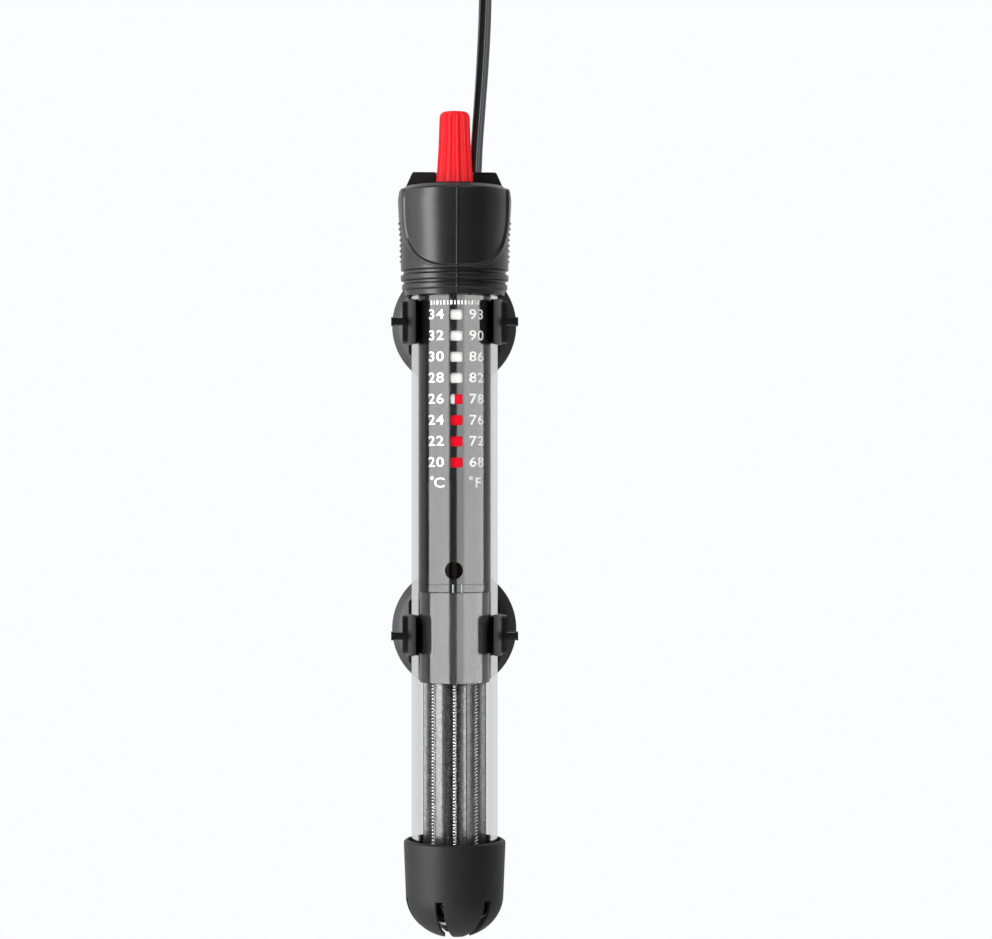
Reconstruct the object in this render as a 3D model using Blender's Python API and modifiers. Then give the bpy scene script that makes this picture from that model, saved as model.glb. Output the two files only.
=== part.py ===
"""Submersible aquarium heater: a glass tube with a ceramic heating core, a bimetal
thermostat set by a knob and shown by a turning drum, a slotted guard, two clips
with suction cups, and a mains cord that goes over the tank's rim.

Sizes are millimetres; the helpers turn them into metres. The part hangs on the
tank's wall: the origin lies on the wall's face, behind the tube and midway
between the two suction cups. +Y points into the wall and +Z is up.
"""

import math

import bmesh
import bpy
from mathutils import Matrix, Vector

MM = 0.001
GAP = 0.3  # clearance between pieces that touch
SIDES = 36  # segments of a large round piece
SMALL_SIDES = 20

# Driving dimensions
WALL_TO_AXIS = 32.0
CUP_SPACING = 91.4
TUBE_RADIUS = 12.5
TUBE_WALL = 1.2
TUBE_TOP = 78.0
TUBE_BOTTOM = -130.3

HEAD_TOP = 84.65
HEAD_BOTTOM = 52.7
BOSS_TOP = 88.9
KNOB_BOTTOM = 85.0
KNOB_TOP = 106.3
KNOB_FLUTES = 14

SLEEVE_RADIUS = 10.6
SLEEVE_WALL = 0.8
SLEEVE_TOP = 65.0
SLEEVE_BOTTOM = -30.7
WINDOW_TOP_Z = 46.8  # centre of the highest window
WINDOW_PITCH = 6.07
WINDOW_COUNT = 8
WINDOW_SIZE = (3.5, 2.9)
LAMP_Z = -26.7
LAMP_HOLE_RADIUS = 2.6
SHIELD_RADIUS = 10.15
SHIELD_TOP = -33.1
SHIELD_BOTTOM = -59.4

CORE_RADIUS = 9.15
CORE_TOP = -50.0
CORE_BOTTOM = -118.0
GROOVES = 6
COIL_CIRCLE = 7.0
COIL_RADIUS = 0.9

GUARD_RIM = -105.1
GUARD_RADIUS = 14.8
GUARD_BORE = 13.3
GUARD_LOW_RADIUS = 14.2  # where the dome starts
GUARD_DOME = 12.5
GUARD_BOTTOM = -133.6
GUARD_WALL = 1.1
GUARD_HOLE = 5.0
GUARD_SLOTS = 6
GUARD_FIRST_SLOT = -18.3  # degrees round from the front
GUARD_SLOT_TOP = -121.6

CLIP_INNER = TUBE_RADIUS + GAP
CLIP_OUTER = 14.8
CUP_RADIUS = 18.8

# The knob turns 300 degrees for 14 degrees of water temperature.
DEGREES_PER_STEP = 300 / 7  # one window
REST_WINDOW = 4  # the window whose two colours meet in the middle
SEAM_STEPS = 23  # the red band's straight edge, in fifths of a step

CORD_WIDTH = 5.0
CORD_X = 6.2
CORD_Y = -24.7
# The cord from the head over the tank's rim to the hank, chosen by hand.
LEAD_ROUTE = [
    (6.2, -24.7, 89.2), (6.5, -24.7, 96.0), (6.9, -24.7, 102.0), (7.5, -24.7, 110.0),
    (8.3, -24.7, 121.0), (8.9, -24.7, 132.0), (9.2, -24.7, 142.0), (9.3, -24.7, 153.0),
    (9.3, -24.5, 163.0), (9.3, -22.4, 172.0), (9.3, -17.6, 179.5), (9.3, -10.8, 184.2),
    (9.3, -2.7, 185.8), (9.3, 5.4, 184.2), (9.3, 12.2, 179.5), (9.3, 17.0, 172.0),
    (9.2, 19.2, 163.0), (9.1, 19.3, 153.0), (8.8, 19.3, 142.0), (8.3, 19.3, 131.0),
    (7.6, 19.3, 119.0), (6.8, 19.3, 108.0), (6.2, 19.1, 98.0), (5.7, 18.0, 88.0),
    (5.1, 15.8, 78.0), (4.7, 13.4, 69.0), (4.4, 11.8, 60.4),
]
# The cord from the hank to the plug.
TAIL_ROUTE = [(-0.9, 18.1, -59.2), (-0.9, 19.6, -63.0), (-0.9, 20.0, -66.4)]
# The hank: racetrack loops in a plane square to the wall, tied at the waist.
HANK_X = -0.9
HANK_Y = 33.0
HANK_UPPER = 45.0  # centre of the upper fold
HANK_LOWER = -36.0
HANK_FOLD = 23.7  # outer radius of a fold
HANK_WIDTH = 16.0
HANK_WAIST = 11.0  # how far each side is drawn in by the tie
PLUG_X = -0.9
PLUG_Y = 20.0
PLUG_TOP = -87.0
RELIEF_TOP = -67.0

# Positions worked out from the dimensions above
AXIS = (0.0, -WALL_TO_AXIS)
TUBE_INNER = TUBE_RADIUS - TUBE_WALL
CUP_HEIGHTS = {"upper": CUP_SPACING / 2, "lower": -CUP_SPACING / 2}
SPINDLE_RADIUS = 1.8


# ---------------------------------------------------------------- scene helpers
def clear_scene():
    for old in list(bpy.data.objects):
        bpy.data.objects.remove(old, do_unlink=True)


def collection(name):
    made = bpy.data.collections.new(name)
    bpy.context.scene.collection.children.link(made)
    return made


def material(name, colour, roughness, metallic=0.0, transmission=0.0):
    made = bpy.data.materials.new(name)
    made.use_nodes = True
    shader = made.node_tree.nodes["Principled BSDF"]
    shader.inputs["Base Color"].default_value = (*colour, 1.0)
    shader.inputs["Roughness"].default_value = roughness
    shader.inputs["Metallic"].default_value = metallic
    shader.inputs["Transmission Weight"].default_value = transmission
    made.diffuse_color = (*colour, 1.0)
    return made


clear_scene()
HEATER = collection("aquarium_heater")
CUTTERS = collection("cutters")

BLACK_RUBBER = material("black_rubber", (0.025, 0.025, 0.027), 0.6)
BLACK_PLASTIC = material("black_plastic", (0.02, 0.02, 0.022), 0.35)
GREY_PLASTIC = material("grey_plastic", (0.12, 0.12, 0.125), 0.4)
RED_PLASTIC = material("red_plastic", (0.75, 0.02, 0.03), 0.35)
WHITE_PLASTIC = material("white_plastic", (0.85, 0.85, 0.85), 0.4)
CERAMIC = material("ceramic", (0.55, 0.55, 0.56), 0.6)
NICHROME = material("nichrome", (0.35, 0.33, 0.31), 0.35, 1.0)
BRASS = material("brass", (0.72, 0.53, 0.25), 0.3, 1.0)
STEEL = material("steel", (0.6, 0.6, 0.62), 0.3, 1.0)
GLASS = material("clear_glass", (0.95, 0.98, 0.98), 0.02, 0.0, 0.9)


def scaled(point):
    return Vector(point) * MM


def add_object(name, mesh, look, at=(0, 0, 0), group=None):
    """A new object at a place in millimetres."""
    made = bpy.data.objects.new(name, mesh)
    made.location = scaled(at)
    if look:
        mesh.materials.append(look)
    (group or HEATER).objects.link(made)
    return made


def smooth(made, angle=35):
    made.data.shade_smooth()
    made.data.set_sharp_from_angle(angle=math.radians(angle))


def mesh_from(name, build):
    """A mesh that a bmesh function fills."""
    shape = bmesh.new()
    build(shape)
    mesh = bpy.data.meshes.new(name)
    shape.to_mesh(mesh)
    shape.free()
    return mesh


def pivot(name, at):
    """An empty on a joint's axis, for the pieces that move with it."""
    empty = bpy.data.objects.new(name, None)
    empty.location = scaled(at)
    HEATER.objects.link(empty)
    return empty


def attach(made, parent):
    """Parent a piece without moving it."""
    made.parent = parent
    made.matrix_parent_inverse = Matrix.Translation(parent.location).inverted()
    return made


def turned(name, profile, look, at=(*AXIS, 0), sides=SIDES, group=None, tilt=None):
    """A turned body. The profile of (radius, height) is a closed loop that runs down
    the outer side first; a stretch along the axis is inside the body and is left out."""
    def build(shape):
        points = [shape.verts.new(scaled((radius, 0, height))) for radius, height in profile]
        for start, end in zip(points, [*points[1:], points[0]]):
            if start.co.x or end.co.x:
                shape.edges.new((start, end))

    made = add_object(name, mesh_from(name, build), look, at, group)
    screw = made.modifiers.new("turn", "SCREW")
    screw.steps = sides
    screw.render_steps = sides
    screw.use_merge_vertices = True
    screw.merge_threshold = 0.00001
    screw.use_smooth_shade = False
    if tilt:
        made.rotation_euler = tilt
    return made


def block(name, size, centre, look=None, group=None, turn_z=0.0):
    """A box given by its size and centre, turned about its own vertical."""
    def build(shape):
        bmesh.ops.create_cube(shape, size=1.0)
        bmesh.ops.scale(shape, vec=scaled(size), verts=shape.verts)

    made = add_object(name, mesh_from(name, build), look, centre, group)
    made.rotation_euler = (0, 0, turn_z)
    return made


def rod(name, radius, start, end, look=None, group=None, sides=SMALL_SIDES, end_radius=None):
    """A straight round rod, or a cone, between two points."""
    start, end = Vector(start), Vector(end)
    along = end - start

    def build(shape):
        bmesh.ops.create_cone(
            shape, cap_ends=True, segments=sides, radius1=radius * MM,
            radius2=(radius if end_radius is None else end_radius) * MM, depth=along.length * MM,
        )
        bmesh.ops.rotate(shape, matrix=along.to_track_quat("Z", "Y").to_matrix(), verts=shape.verts)

    return add_object(name, mesh_from(name, build), look, (start + end) / 2, group)


def boolean(made, other, operation):
    """Cut or join another object, which is then only a guide."""
    step = made.modifiers.new(operation.lower(), "BOOLEAN")
    step.operation = operation
    step.solver = "EXACT"
    step.object = other
    other.hide_render = True
    other.display_type = "WIRE"
    return made


def cut(made, *cutters):
    for cutter in cutters:
        boolean(made, cutter, "DIFFERENCE")
    return made


def join(made, *others):
    for other in others:
        boolean(made, other, "UNION")
    return made


def ring(name, outer, inner, top, bottom, look, sides=SIDES, group=None, at=(*AXIS, 0)):
    profile = [(outer, top), (outer, bottom), (inner, bottom), (inner, top)]
    return turned(name, profile, look, at, sides, group)


def spline_points(route, spacing):
    """Points at an even spacing along a smooth curve through the route (Catmull-Rom)."""
    ends = [2 * Vector(route[0]) - Vector(route[1]), 2 * Vector(route[-1]) - Vector(route[-2])]
    knots = [ends[0], *map(Vector, route), ends[1]]
    fine = []
    for before, start, end, after in zip(knots, knots[1:], knots[2:], knots[3:]):
        for step in range(12):
            t = step / 12
            fine.append(0.5 * (
                2 * start + (end - before) * t
                + (2 * before - 5 * start + 4 * end - after) * t ** 2
                + (3 * start - before - 3 * end + after) * t ** 3
            ))
    fine.append(Vector(route[-1]))
    total = sum((b - a).length for a, b in zip(fine, fine[1:]))
    count = max(2, round(total / spacing))
    points, walked, goal = [fine[0]], 0.0, total / count
    for a, b in zip(fine, fine[1:]):
        length = (b - a).length
        while walked + length >= goal * len(points) and len(points) < count:
            points.append(a.lerp(b, (goal * len(points) - walked) / length))
        walked += length
    return [*points, fine[-1]]


def wire(name, radius, points, look, resolution=2):
    """A round wire or cord along points, with filled ends."""
    curve = bpy.data.curves.new(name, "CURVE")
    curve.dimensions = "3D"
    curve.bevel_depth = radius * MM
    curve.bevel_resolution = resolution
    curve.use_fill_caps = True
    curve.render_resolution_u = 0
    spline = curve.splines.new("POLY")
    spline.points.add(len(points) - 1)
    for knot, point in zip(spline.points, points):
        knot.co = (*scaled(point), 1.0)
    return add_object(name, curve, look)


def plate(name, outline, thickness, look, at=(0, 0, 0), turn=(0, 0, 0)):
    """A flat outline with a thickness, centred on its own plane."""
    curve = bpy.data.curves.new(name, "CURVE")
    curve.dimensions = "2D"
    curve.fill_mode = "BOTH"
    curve.extrude = thickness / 2 * MM
    spline = curve.splines.new("POLY")
    spline.points.add(len(outline) - 1)
    for knot, (x, y) in zip(spline.points, outline):
        knot.co = (x * MM, y * MM, 0.0, 1.0)
    spline.use_cyclic_u = True
    made = add_object(name, curve, look, at)
    made.rotation_euler = turn
    return made


def solid_plate(name, outline, thickness, look, at, turn):
    """A plate as a mesh, which can be cut."""
    made = plate(name, outline, thickness, look, at, turn)
    mesh = bpy.data.meshes.new_from_object(
        made.evaluated_get(bpy.context.evaluated_depsgraph_get())
    )
    bpy.data.objects.remove(made, do_unlink=True)
    shape = bmesh.new()
    shape.from_mesh(mesh)
    bmesh.ops.remove_doubles(shape, verts=shape.verts, dist=0.00001)
    shape.to_mesh(mesh)
    shape.free()
    made = add_object(name, mesh, None, at)
    made.rotation_euler = turn
    return made


def dome(radius, depth, centre, turns, smallest=0.0):
    """A quarter ellipse from its widest ring down to the smallest radius."""
    last = math.acos(smallest / radius)
    return [
        (radius * math.cos(last * step / turns), centre - depth * math.sin(last * step / turns))
        for step in range(turns + 1)
    ]


# ------------------------------------------------------------------ fixed shell
def make_glass_tube():
    """Open at the top, with a rounded closed end."""
    depth = 10.5
    centre = TUBE_BOTTOM + depth
    outer = dome(TUBE_RADIUS, depth, centre, 8)[:-1]
    inner = dome(TUBE_INNER, depth - TUBE_WALL, centre, 8)[:-1]
    turned("glass_tube", [
        (TUBE_RADIUS, TUBE_TOP), *outer, (0, TUBE_BOTTOM), (0, TUBE_BOTTOM + TUBE_WALL),
        *reversed(inner), (TUBE_INNER, TUBE_TOP),
    ], GLASS)


def make_head_cap():
    """A rubber cap over the tube's top, with ring grooves, a rear cord boss and a
    shallow panel in its front."""
    bore = TUBE_RADIUS + GAP
    seat = TUBE_TOP + GAP
    profile = [
        (14.0, HEAD_TOP), (16.1, HEAD_TOP - 1.4), (16.5, 80.5), (16.3, 76.0), (15.7, 69.0), (15.65, 60.0),
        (14.9, 60.0), (14.9, 58.7), (15.6, 58.7), (15.6, 57.1), (14.8, 57.1), (14.8, 56.0),
        (15.2, 56.0), (15.2, 54.3), (14.5, 54.3), (14.4, HEAD_BOTTOM),
        (bore, HEAD_BOTTOM), (bore, seat), (2.6, seat), (2.6, HEAD_TOP),
    ]
    head = turned("head_cap", profile, BLACK_RUBBER)
    boss = rod("head_boss", 14.4, (*AXIS, 84.0), (*AXIS, BOSS_TOP), group=CUTTERS, sides=SIDES,
               end_radius=12.3)
    front = block("boss_front", (40, 20, 20), (0, AXIS[1] + 1.5 - 10, 90), group=CUTTERS)
    well = rod("knob_well", 5.9, (*AXIS, HEAD_TOP), (*AXIS, 95), group=CUTTERS, sides=SIDES)
    stem = rod("spindle_way", 2.6, (*AXIS, 70), (*AXIS, 95), group=CUTTERS)
    cut(boss, front, well, stem)
    join(head, boss)
    cut(head, rod("gland_way", 3.3, (CORD_X, CORD_Y, 79.5), (CORD_X, CORD_Y, 95), group=CUTTERS))
    panel = rod("panel_cutter", 17, (0, AXIS[1] - 40, 79), (0, AXIS[1] - 15.4, 79),
                group=CUTTERS, sides=SIDES)
    cut(head, panel)


def make_head_inside():
    """The pieces under the cap: seal, gasket, carrier plug and cord gland."""
    ring("spindle_seal", 2.45, SPINDLE_RADIUS + 0.15, 84.0, 82.0, BLACK_RUBBER, SMALL_SIDES)
    carrier = ring("carrier_plug", TUBE_INNER - GAP, SPINDLE_RADIUS + GAP, 77.7, 65.4, GREY_PLASTIC)
    wire_way = block("wire_way", (5.6, 6, 20), (0, AXIS[1] + 11, 71), group=CUTTERS)
    cut(carrier, wire_way)
    profile = [(2.9, BOSS_TOP), (3.0, 79.8), (1.0, 79.8), (1.0, BOSS_TOP)]
    turned("cord_gland", profile, BLACK_RUBBER, (CORD_X, CORD_Y, 0), SMALL_SIDES)


def make_scale_sleeve():
    """The black sleeve with its windows, lamp hole, and a rear slot for the wires."""
    sleeve = ring("scale_sleeve", SLEEVE_RADIUS, SLEEVE_RADIUS - SLEEVE_WALL, SLEEVE_TOP,
                  SLEEVE_BOTTOM, BLACK_PLASTIC, 40)
    front = AXIS[1] - SLEEVE_RADIUS
    width, height = WINDOW_SIZE
    for index in range(WINDOW_COUNT):
        z = WINDOW_TOP_Z - index * WINDOW_PITCH
        cut(sleeve, block(f"window_cutter_{index}", (width, 6, height), (0, front, z), group=CUTTERS))
    lamp = rod("lamp_cutter", LAMP_HOLE_RADIUS, (0, front - 3, LAMP_Z), (0, front + 3, LAMP_Z),
               group=CUTTERS)
    slot = block("wire_slot", (5.6, 5, 120), (0, AXIS[1] + 10.5, 20), group=CUTTERS)
    cut(sleeve, lamp, slot)


def make_lower_sleeves():
    """The slit end ring of the scale sleeve, and the plain sleeve under it."""
    collar = ring("sleeve_end_ring", 10.9, 9.9, SLEEVE_BOTTOM - GAP, SHIELD_TOP + GAP, BLACK_PLASTIC)
    slit = block("ring_slit", (2.6, 5, 6), (0, AXIS[1] - 10.5, -32), group=CUTTERS)
    rear = block("ring_wire_slot", (5.6, 5, 6), (0, AXIS[1] + 10.5, -32), group=CUTTERS)
    bridge = block("ring_bridge", (3.4, 0.6, 0.8), (0, AXIS[1] - 10.2, -31.5), group=CUTTERS)
    cut(collar, slit)
    join(collar, bridge)
    cut(collar, rear)
    ring("heat_shield_sleeve", SHIELD_RADIUS, 9.45, SHIELD_TOP, SHIELD_BOTTOM, GREY_PLASTIC)


# ------------------------------------------------------------------ heating unit
def groove_angle(index):
    """The first groove is at the rear."""
    return math.pi / 2 + math.tau * index / GROOVES


def make_ceramic_core():
    core = turned("ceramic_core", [(0, CORE_TOP), (CORE_RADIUS, CORE_TOP),
                  (CORE_RADIUS, CORE_BOTTOM), (0, CORE_BOTTOM)], CERAMIC)
    middle = (CORE_TOP + CORE_BOTTOM) / 2
    for index in range(GROOVES):
        angle = groove_angle(index)
        reach = COIL_CIRCLE + 2.4
        centre = (AXIS[0] + reach * math.cos(angle), AXIS[1] + reach * math.sin(angle), middle)
        size = (2 * (reach - COIL_CIRCLE) + 2.4, 2.6, CORE_TOP - CORE_BOTTOM + 10)
        cut(core, block(f"groove_cutter_{index}", size, centre, group=CUTTERS, turn_z=angle))


def make_heating_coil():
    """One coiled wire up and down the six grooves, shown as its outer shape."""
    spots = [
        Vector((AXIS[0] + COIL_CIRCLE * math.cos(groove_angle(i)),
                AXIS[1] + COIL_CIRCLE * math.sin(groove_angle(i))))
        for i in range(GROOVES)
    ]
    top, bottom = CORE_TOP + 0.6, CORE_BOTTOM - 0.6
    points = [(*spots[0], top + 2)]
    for index, spot in enumerate(spots):
        down = index % 2 == 0
        first, last = (top, bottom) if down else (bottom, top)
        points += [(*spot, first), (*spot, last)]
        if index + 1 < GROOVES:
            height = -2.8 if down else 2.8
            for share in (0.2, 0.5, 0.8):
                flat = spot.lerp(spots[index + 1], share)
                points.append((*flat, last + height * math.sin(math.pi * share)))
    points.append((*spots[-1], top + 2))
    wire("heating_coil", COIL_RADIUS, points, NICHROME)
    return spots


def make_insulators(spots):
    """Discs over and under the core, and the leads that pass the upper one."""
    upper = ring("upper_insulator", 9.1, 2.0, -42.0, -43.6, WHITE_PLASTIC)
    turned("lower_insulator", [(0, -122.4), (8.4, -122.4), (8.4, -123.8), (0, -123.8)], CERAMIC)
    for side, spot in (("left", spots[0]), ("right", spots[-1])):
        cut(upper, rod(f"{side}_lead_way", 1.2, (*spot, -50), (*spot, -40), group=CUTTERS))
        rod(f"{side}_coil_lead", 0.55, (*spot, CORE_TOP + 2.9), (*spot, -31.6), BRASS, sides=10)


# ------------------------------------------------------------------- thermostat
def make_thermostat():
    """The fixed half of the thermostat: frame, contact arm, magnet, lamp."""
    outline = [(0, -1.0), (0, -30.0), (-8.0, -30.0), (-8.0, -28.8), (-1.2, -28.8),
               (-1.2, -2.2), (-7.4, -2.2), (-7.4, -1.0)]
    frame = solid_plate("thermostat_frame", outline, 11.0, STEEL, (0, AXIS[1] + 4.4, 0),
                        (math.pi / 2, 0, math.pi / 2))
    cut(frame, rod("screw_way", 1.9, (*AXIS, -4), (*AXIS, 2), group=CUTTERS))
    axis_y = AXIS[1]
    arm = block("contact_arm", (3.0, 3.6, 1.0), (5.2, axis_y + 1.0, -9.6), BRASS)
    join(arm, block("contact_stud", (2.0, 2.0, 1.0), (5.2, axis_y, -10.4), group=CUTTERS))
    block("snap_magnet", (1.8, 2.4, 2.6), (8.0, axis_y, -10.0), STEEL)
    block("leaf_anchor", (2.6, 5.6, 5.0), (-7.4, axis_y + 0.1, -12.9), BRASS)
    rod("pilot_lamp", 1.7, (0, axis_y - 6.6, LAMP_Z - 4.0), (0, axis_y - 6.6, LAMP_Z + 4.0), WHITE_PLASTIC)
    rod("lamp_resistor", 0.9, (4.6, axis_y - 6.0, LAMP_Z - 3.0), (4.6, axis_y - 6.0, LAMP_Z + 3.0),
        CERAMIC, sides=12)


def make_mains_wires():
    """Two wires down the sleeve's rear slot to the thermostat."""
    for side, x in (("live", 1.3), ("neutral", -1.3)):
        rod(f"{side}_wire", 0.65, (x, AXIS[1] + 10.1, 77.5), (x, AXIS[1] + 10.1, -30.0),
            RED_PLASTIC if side == "live" else WHITE_PLASTIC, sides=10)


# --------------------------------------------------------------- moving control
def make_knob(turning):
    """A fluted knob on a spindle, with the two-colour drum at its lower end."""
    profile = [
        (0, KNOB_TOP), (3.4, KNOB_TOP), (4.1, KNOB_TOP - 0.5), (4.4, KNOB_TOP - 1.4), (4.7, 96.0),
        (5.1, 89.5), (5.5, KNOB_BOTTOM), (3.2, KNOB_BOTTOM), (3.2, 89.0), (SPINDLE_RADIUS + GAP, 89.0),
        (SPINDLE_RADIUS + GAP, 101.0), (0, 101.0),
    ]
    knob = turned("knob", profile, RED_PLASTIC, sides=KNOB_FLUTES * 3)
    for index in range(KNOB_FLUTES):
        angle = math.tau * index / KNOB_FLUTES
        low, high = (
            (AXIS[0] + r * math.cos(angle), AXIS[1] + r * math.sin(angle), z)
            for r, z in ((6.1, KNOB_BOTTOM - 1), (4.9, KNOB_TOP + 1))
        )
        cut(knob, rod(f"flute_cutter_{index}", 0.75, low, high, group=CUTTERS, sides=8))
    attach(knob, turning)
    profile = [
        (0, 100.7), (SPINDLE_RADIUS, 100.7), (SPINDLE_RADIUS, -1.6), (1.4, -1.6), (1.4, -8.6), (0, -8.6),
    ]
    attach(turned("spindle", profile, BRASS, sides=SMALL_SIDES), turning)
    top, bottom = 50.2, 0.6
    profile = [
        (8.9, top), (8.9, bottom), (8.1, bottom), (8.1, top - 1.4),
        (SPINDLE_RADIUS + GAP, top - 1.4), (SPINDLE_RADIUS + GAP, top),
    ]
    attach(turned("indicator_drum", profile, WHITE_PLASTIC, sides=42), turning)
    attach(make_red_band(), turning)


def make_red_band():
    """The red half of the indicator: a thin band whose left edge steps round by one
    window's turn in each row, so that the windows change colour one by one."""
    columns_per_step, radius = 5, 9.2
    column = math.radians(DEGREES_PER_STEP / columns_per_step)
    lowest = WINDOW_TOP_Z - (WINDOW_COUNT - 0.5) * WINDOW_PITCH
    first = -(WINDOW_COUNT - 1 - REST_WINDOW) * columns_per_step

    def build(shape):
        corners = {}

        def corner(step, row):
            if (step, row) not in corners:
                angle = -math.pi / 2 + step * column
                spot = (radius * math.cos(angle), radius * math.sin(angle), lowest + row * WINDOW_PITCH)
                corners[step, row] = shape.verts.new(scaled(spot))
            return corners[step, row]

        for row in range(WINDOW_COUNT):
            edge = first + row * columns_per_step
            for step in range(edge, SEAM_STEPS):
                shape.faces.new([corner(step, row), corner(step + 1, row),
                                 corner(step + 1, row + 1), corner(step, row + 1)])

    band = add_object("indicator_red_band", mesh_from("indicator_red_band", build), RED_PLASTIC,
                      (*AXIS, 0))
    shell = band.modifiers.new("thickness", "SOLIDIFY")
    shell.thickness = 0.3 * MM
    shell.offset = 1.0
    return band


def make_adjuster(rising):
    """The nut that the spindle's thread drives up and down against the leaf."""
    nut = block("adjuster_nut", (5.6, 5.6, 2.6), (*AXIS, -6.6), BRASS)
    bore = rod("nut_bore", 1.4 + GAP, (*AXIS, -10), (*AXIS, -4), group=CUTTERS)
    cut(nut, bore)
    foot = ring("nut_foot", 2.4, 1.4 + GAP, -7.0, -11.2, None, SMALL_SIDES, CUTTERS)
    join(nut, foot)
    attach(nut, rising)


def make_leaf(bending):
    """The bimetal leaf with its contact."""
    leaf = block("bimetal_leaf", (13.1, 3.6, 0.5), (0.75, AXIS[1], -12.05), STEEL)
    attach(leaf, bending)
    contact = rod("moving_contact", 0.9, (5.2, AXIS[1], -11.5), (5.2, AXIS[1], -11.2), BRASS, sides=12)
    attach(contact, bending)


# --------------------------------------------------------------------- bottom
def make_guard(sliding):
    """A cup round the tube's end, with slots, a drain hole and ribs that grip the tube."""
    centre = GUARD_BOTTOM + GUARD_DOME
    outer = dome(GUARD_LOW_RADIUS, GUARD_DOME, centre, 7, GUARD_HOLE)
    inner = dome(GUARD_LOW_RADIUS - GUARD_WALL, GUARD_DOME - GUARD_WALL, centre, 7, GUARD_HOLE)
    guard = turned("bottom_guard", [
        (GUARD_RADIUS - 0.6, GUARD_RIM), (GUARD_RADIUS, GUARD_RIM - 0.6), *outer,
        *reversed(inner), (GUARD_BORE, GUARD_RIM),
    ], BLACK_PLASTIC)
    height = GUARD_SLOT_TOP - GUARD_BOTTOM + 1
    for index in range(GUARD_SLOTS):
        angle = math.radians(GUARD_FIRST_SLOT - 90 + index * 360 / GUARD_SLOTS)
        spot = (11 * math.cos(angle), AXIS[1] + 11 * math.sin(angle), GUARD_SLOT_TOP - height / 2)
        cut(guard, block(f"guard_slot_{index}", (15.0, 2.4, height), spot, group=CUTTERS,
                         turn_z=angle))
    for index, degrees in enumerate((-10, 90, 190)):
        angle = math.radians(degrees)
        reach = TUBE_RADIUS + 0.1 + 0.6
        spot = (reach * math.cos(angle), AXIS[1] + reach * math.sin(angle), GUARD_RIM - 7)
        join(guard, block(f"guard_rib_{index}", (1.2, 1.4, 9.0), spot, group=CUTTERS, turn_z=angle))
    attach(guard, sliding)


# -------------------------------------------------------------- clips and cups
def make_clip(side, sliding, height):
    """A spring clip round the tube, with a socket for its suction cup."""
    z = CUP_HEIGHTS[side]
    profile = [
        (CLIP_OUTER, height / 2), (CLIP_OUTER, -height / 2), (CLIP_INNER, -height / 2),
        (CLIP_INNER, height / 2),
    ]
    clip = turned(f"{side}_clip", profile, BLACK_RUBBER, (*AXIS, z))
    mouth = block(f"{side}_clip_mouth", (18.2, 20, 20), (0, AXIS[1] - 18, z), group=CUTTERS)
    cut(clip, mouth)
    socket = block(f"{side}_clip_socket", (13, 7.4, 11.6), (0, -13.6, z), group=CUTTERS)
    join(clip, socket)
    for sign in (-1, 1):
        ear = block(f"{side}_clip_ear_{sign}", (1.2, 6.0, height), (sign * 14.9, AXIS[1] + 1, z),
                    group=CUTTERS)
        tab = block(f"{side}_clip_tab_{sign}", (4.6, 5.0, 2.3), (sign * 16.2, AXIS[1] + 1, z),
                    group=CUTTERS)
        join(clip, ear, tab)
    tube_way = rod(f"{side}_tube_way", CLIP_INNER, (*AXIS, z - 12), (*AXIS, z + 12), group=CUTTERS,
                   sides=SIDES)
    neck_way = rod(f"{side}_neck_way", 2.5, (0, -5, z), (0, -14, z), group=CUTTERS)
    head_way = rod(f"{side}_head_way", 3.7, (0, -11.9, z), (0, -16.3, z), group=CUTTERS)
    cut(clip, tube_way, neck_way, head_way)
    attach(clip, sliding)


def make_suction_cup(side, turning):
    """Turned about the line square to the wall: rim on the wall, button in the clip."""
    profile = [
        (0, 15.9), (2.9, 15.9), (3.3, 15.0), (3.3, 12.8), (2.2, 12.1), (2.2, 9.6), (4.4, 9.2),
        (6.5, 7.4), (12.0, 5.2), (17.0, 2.8), (CUP_RADIUS, 1.0), (CUP_RADIUS, 0.0), (16.6, 0.0),
        (15.0, 1.2), (10.0, 2.7), (5.0, 3.4), (0, 3.5),
    ]
    cup = turned(f"{side}_suction_cup", profile, BLACK_RUBBER, (0, 0, CUP_HEIGHTS[side]),
                 tilt=(math.pi / 2, 0, 0))
    attach(cup, turning)


# ----------------------------------------------------------------------- cord
def hank_outline(grow=0.0):
    """The hank seen along X: two round folds and sides drawn in at the waist."""
    length = HANK_UPPER - HANK_LOWER
    radius = HANK_FOLD + grow
    points = []
    for step in range(13):
        angle = math.pi * step / 12
        points.append((radius * math.cos(angle), HANK_UPPER + radius * math.sin(angle)))
    for step in range(1, 10):
        share = step / 10
        drawn = HANK_WAIST * math.sin(math.pi * share) ** 2
        points.append((drawn - radius, HANK_UPPER - share * length))
    for step in range(13):
        angle = math.pi + math.pi * step / 12
        points.append((radius * math.cos(angle), HANK_LOWER + radius * math.sin(angle)))
    for step in range(1, 10):
        share = step / 10
        drawn = HANK_WAIST * math.sin(math.pi * share) ** 2
        points.append((radius - drawn, HANK_LOWER + share * length))
    return points


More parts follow.
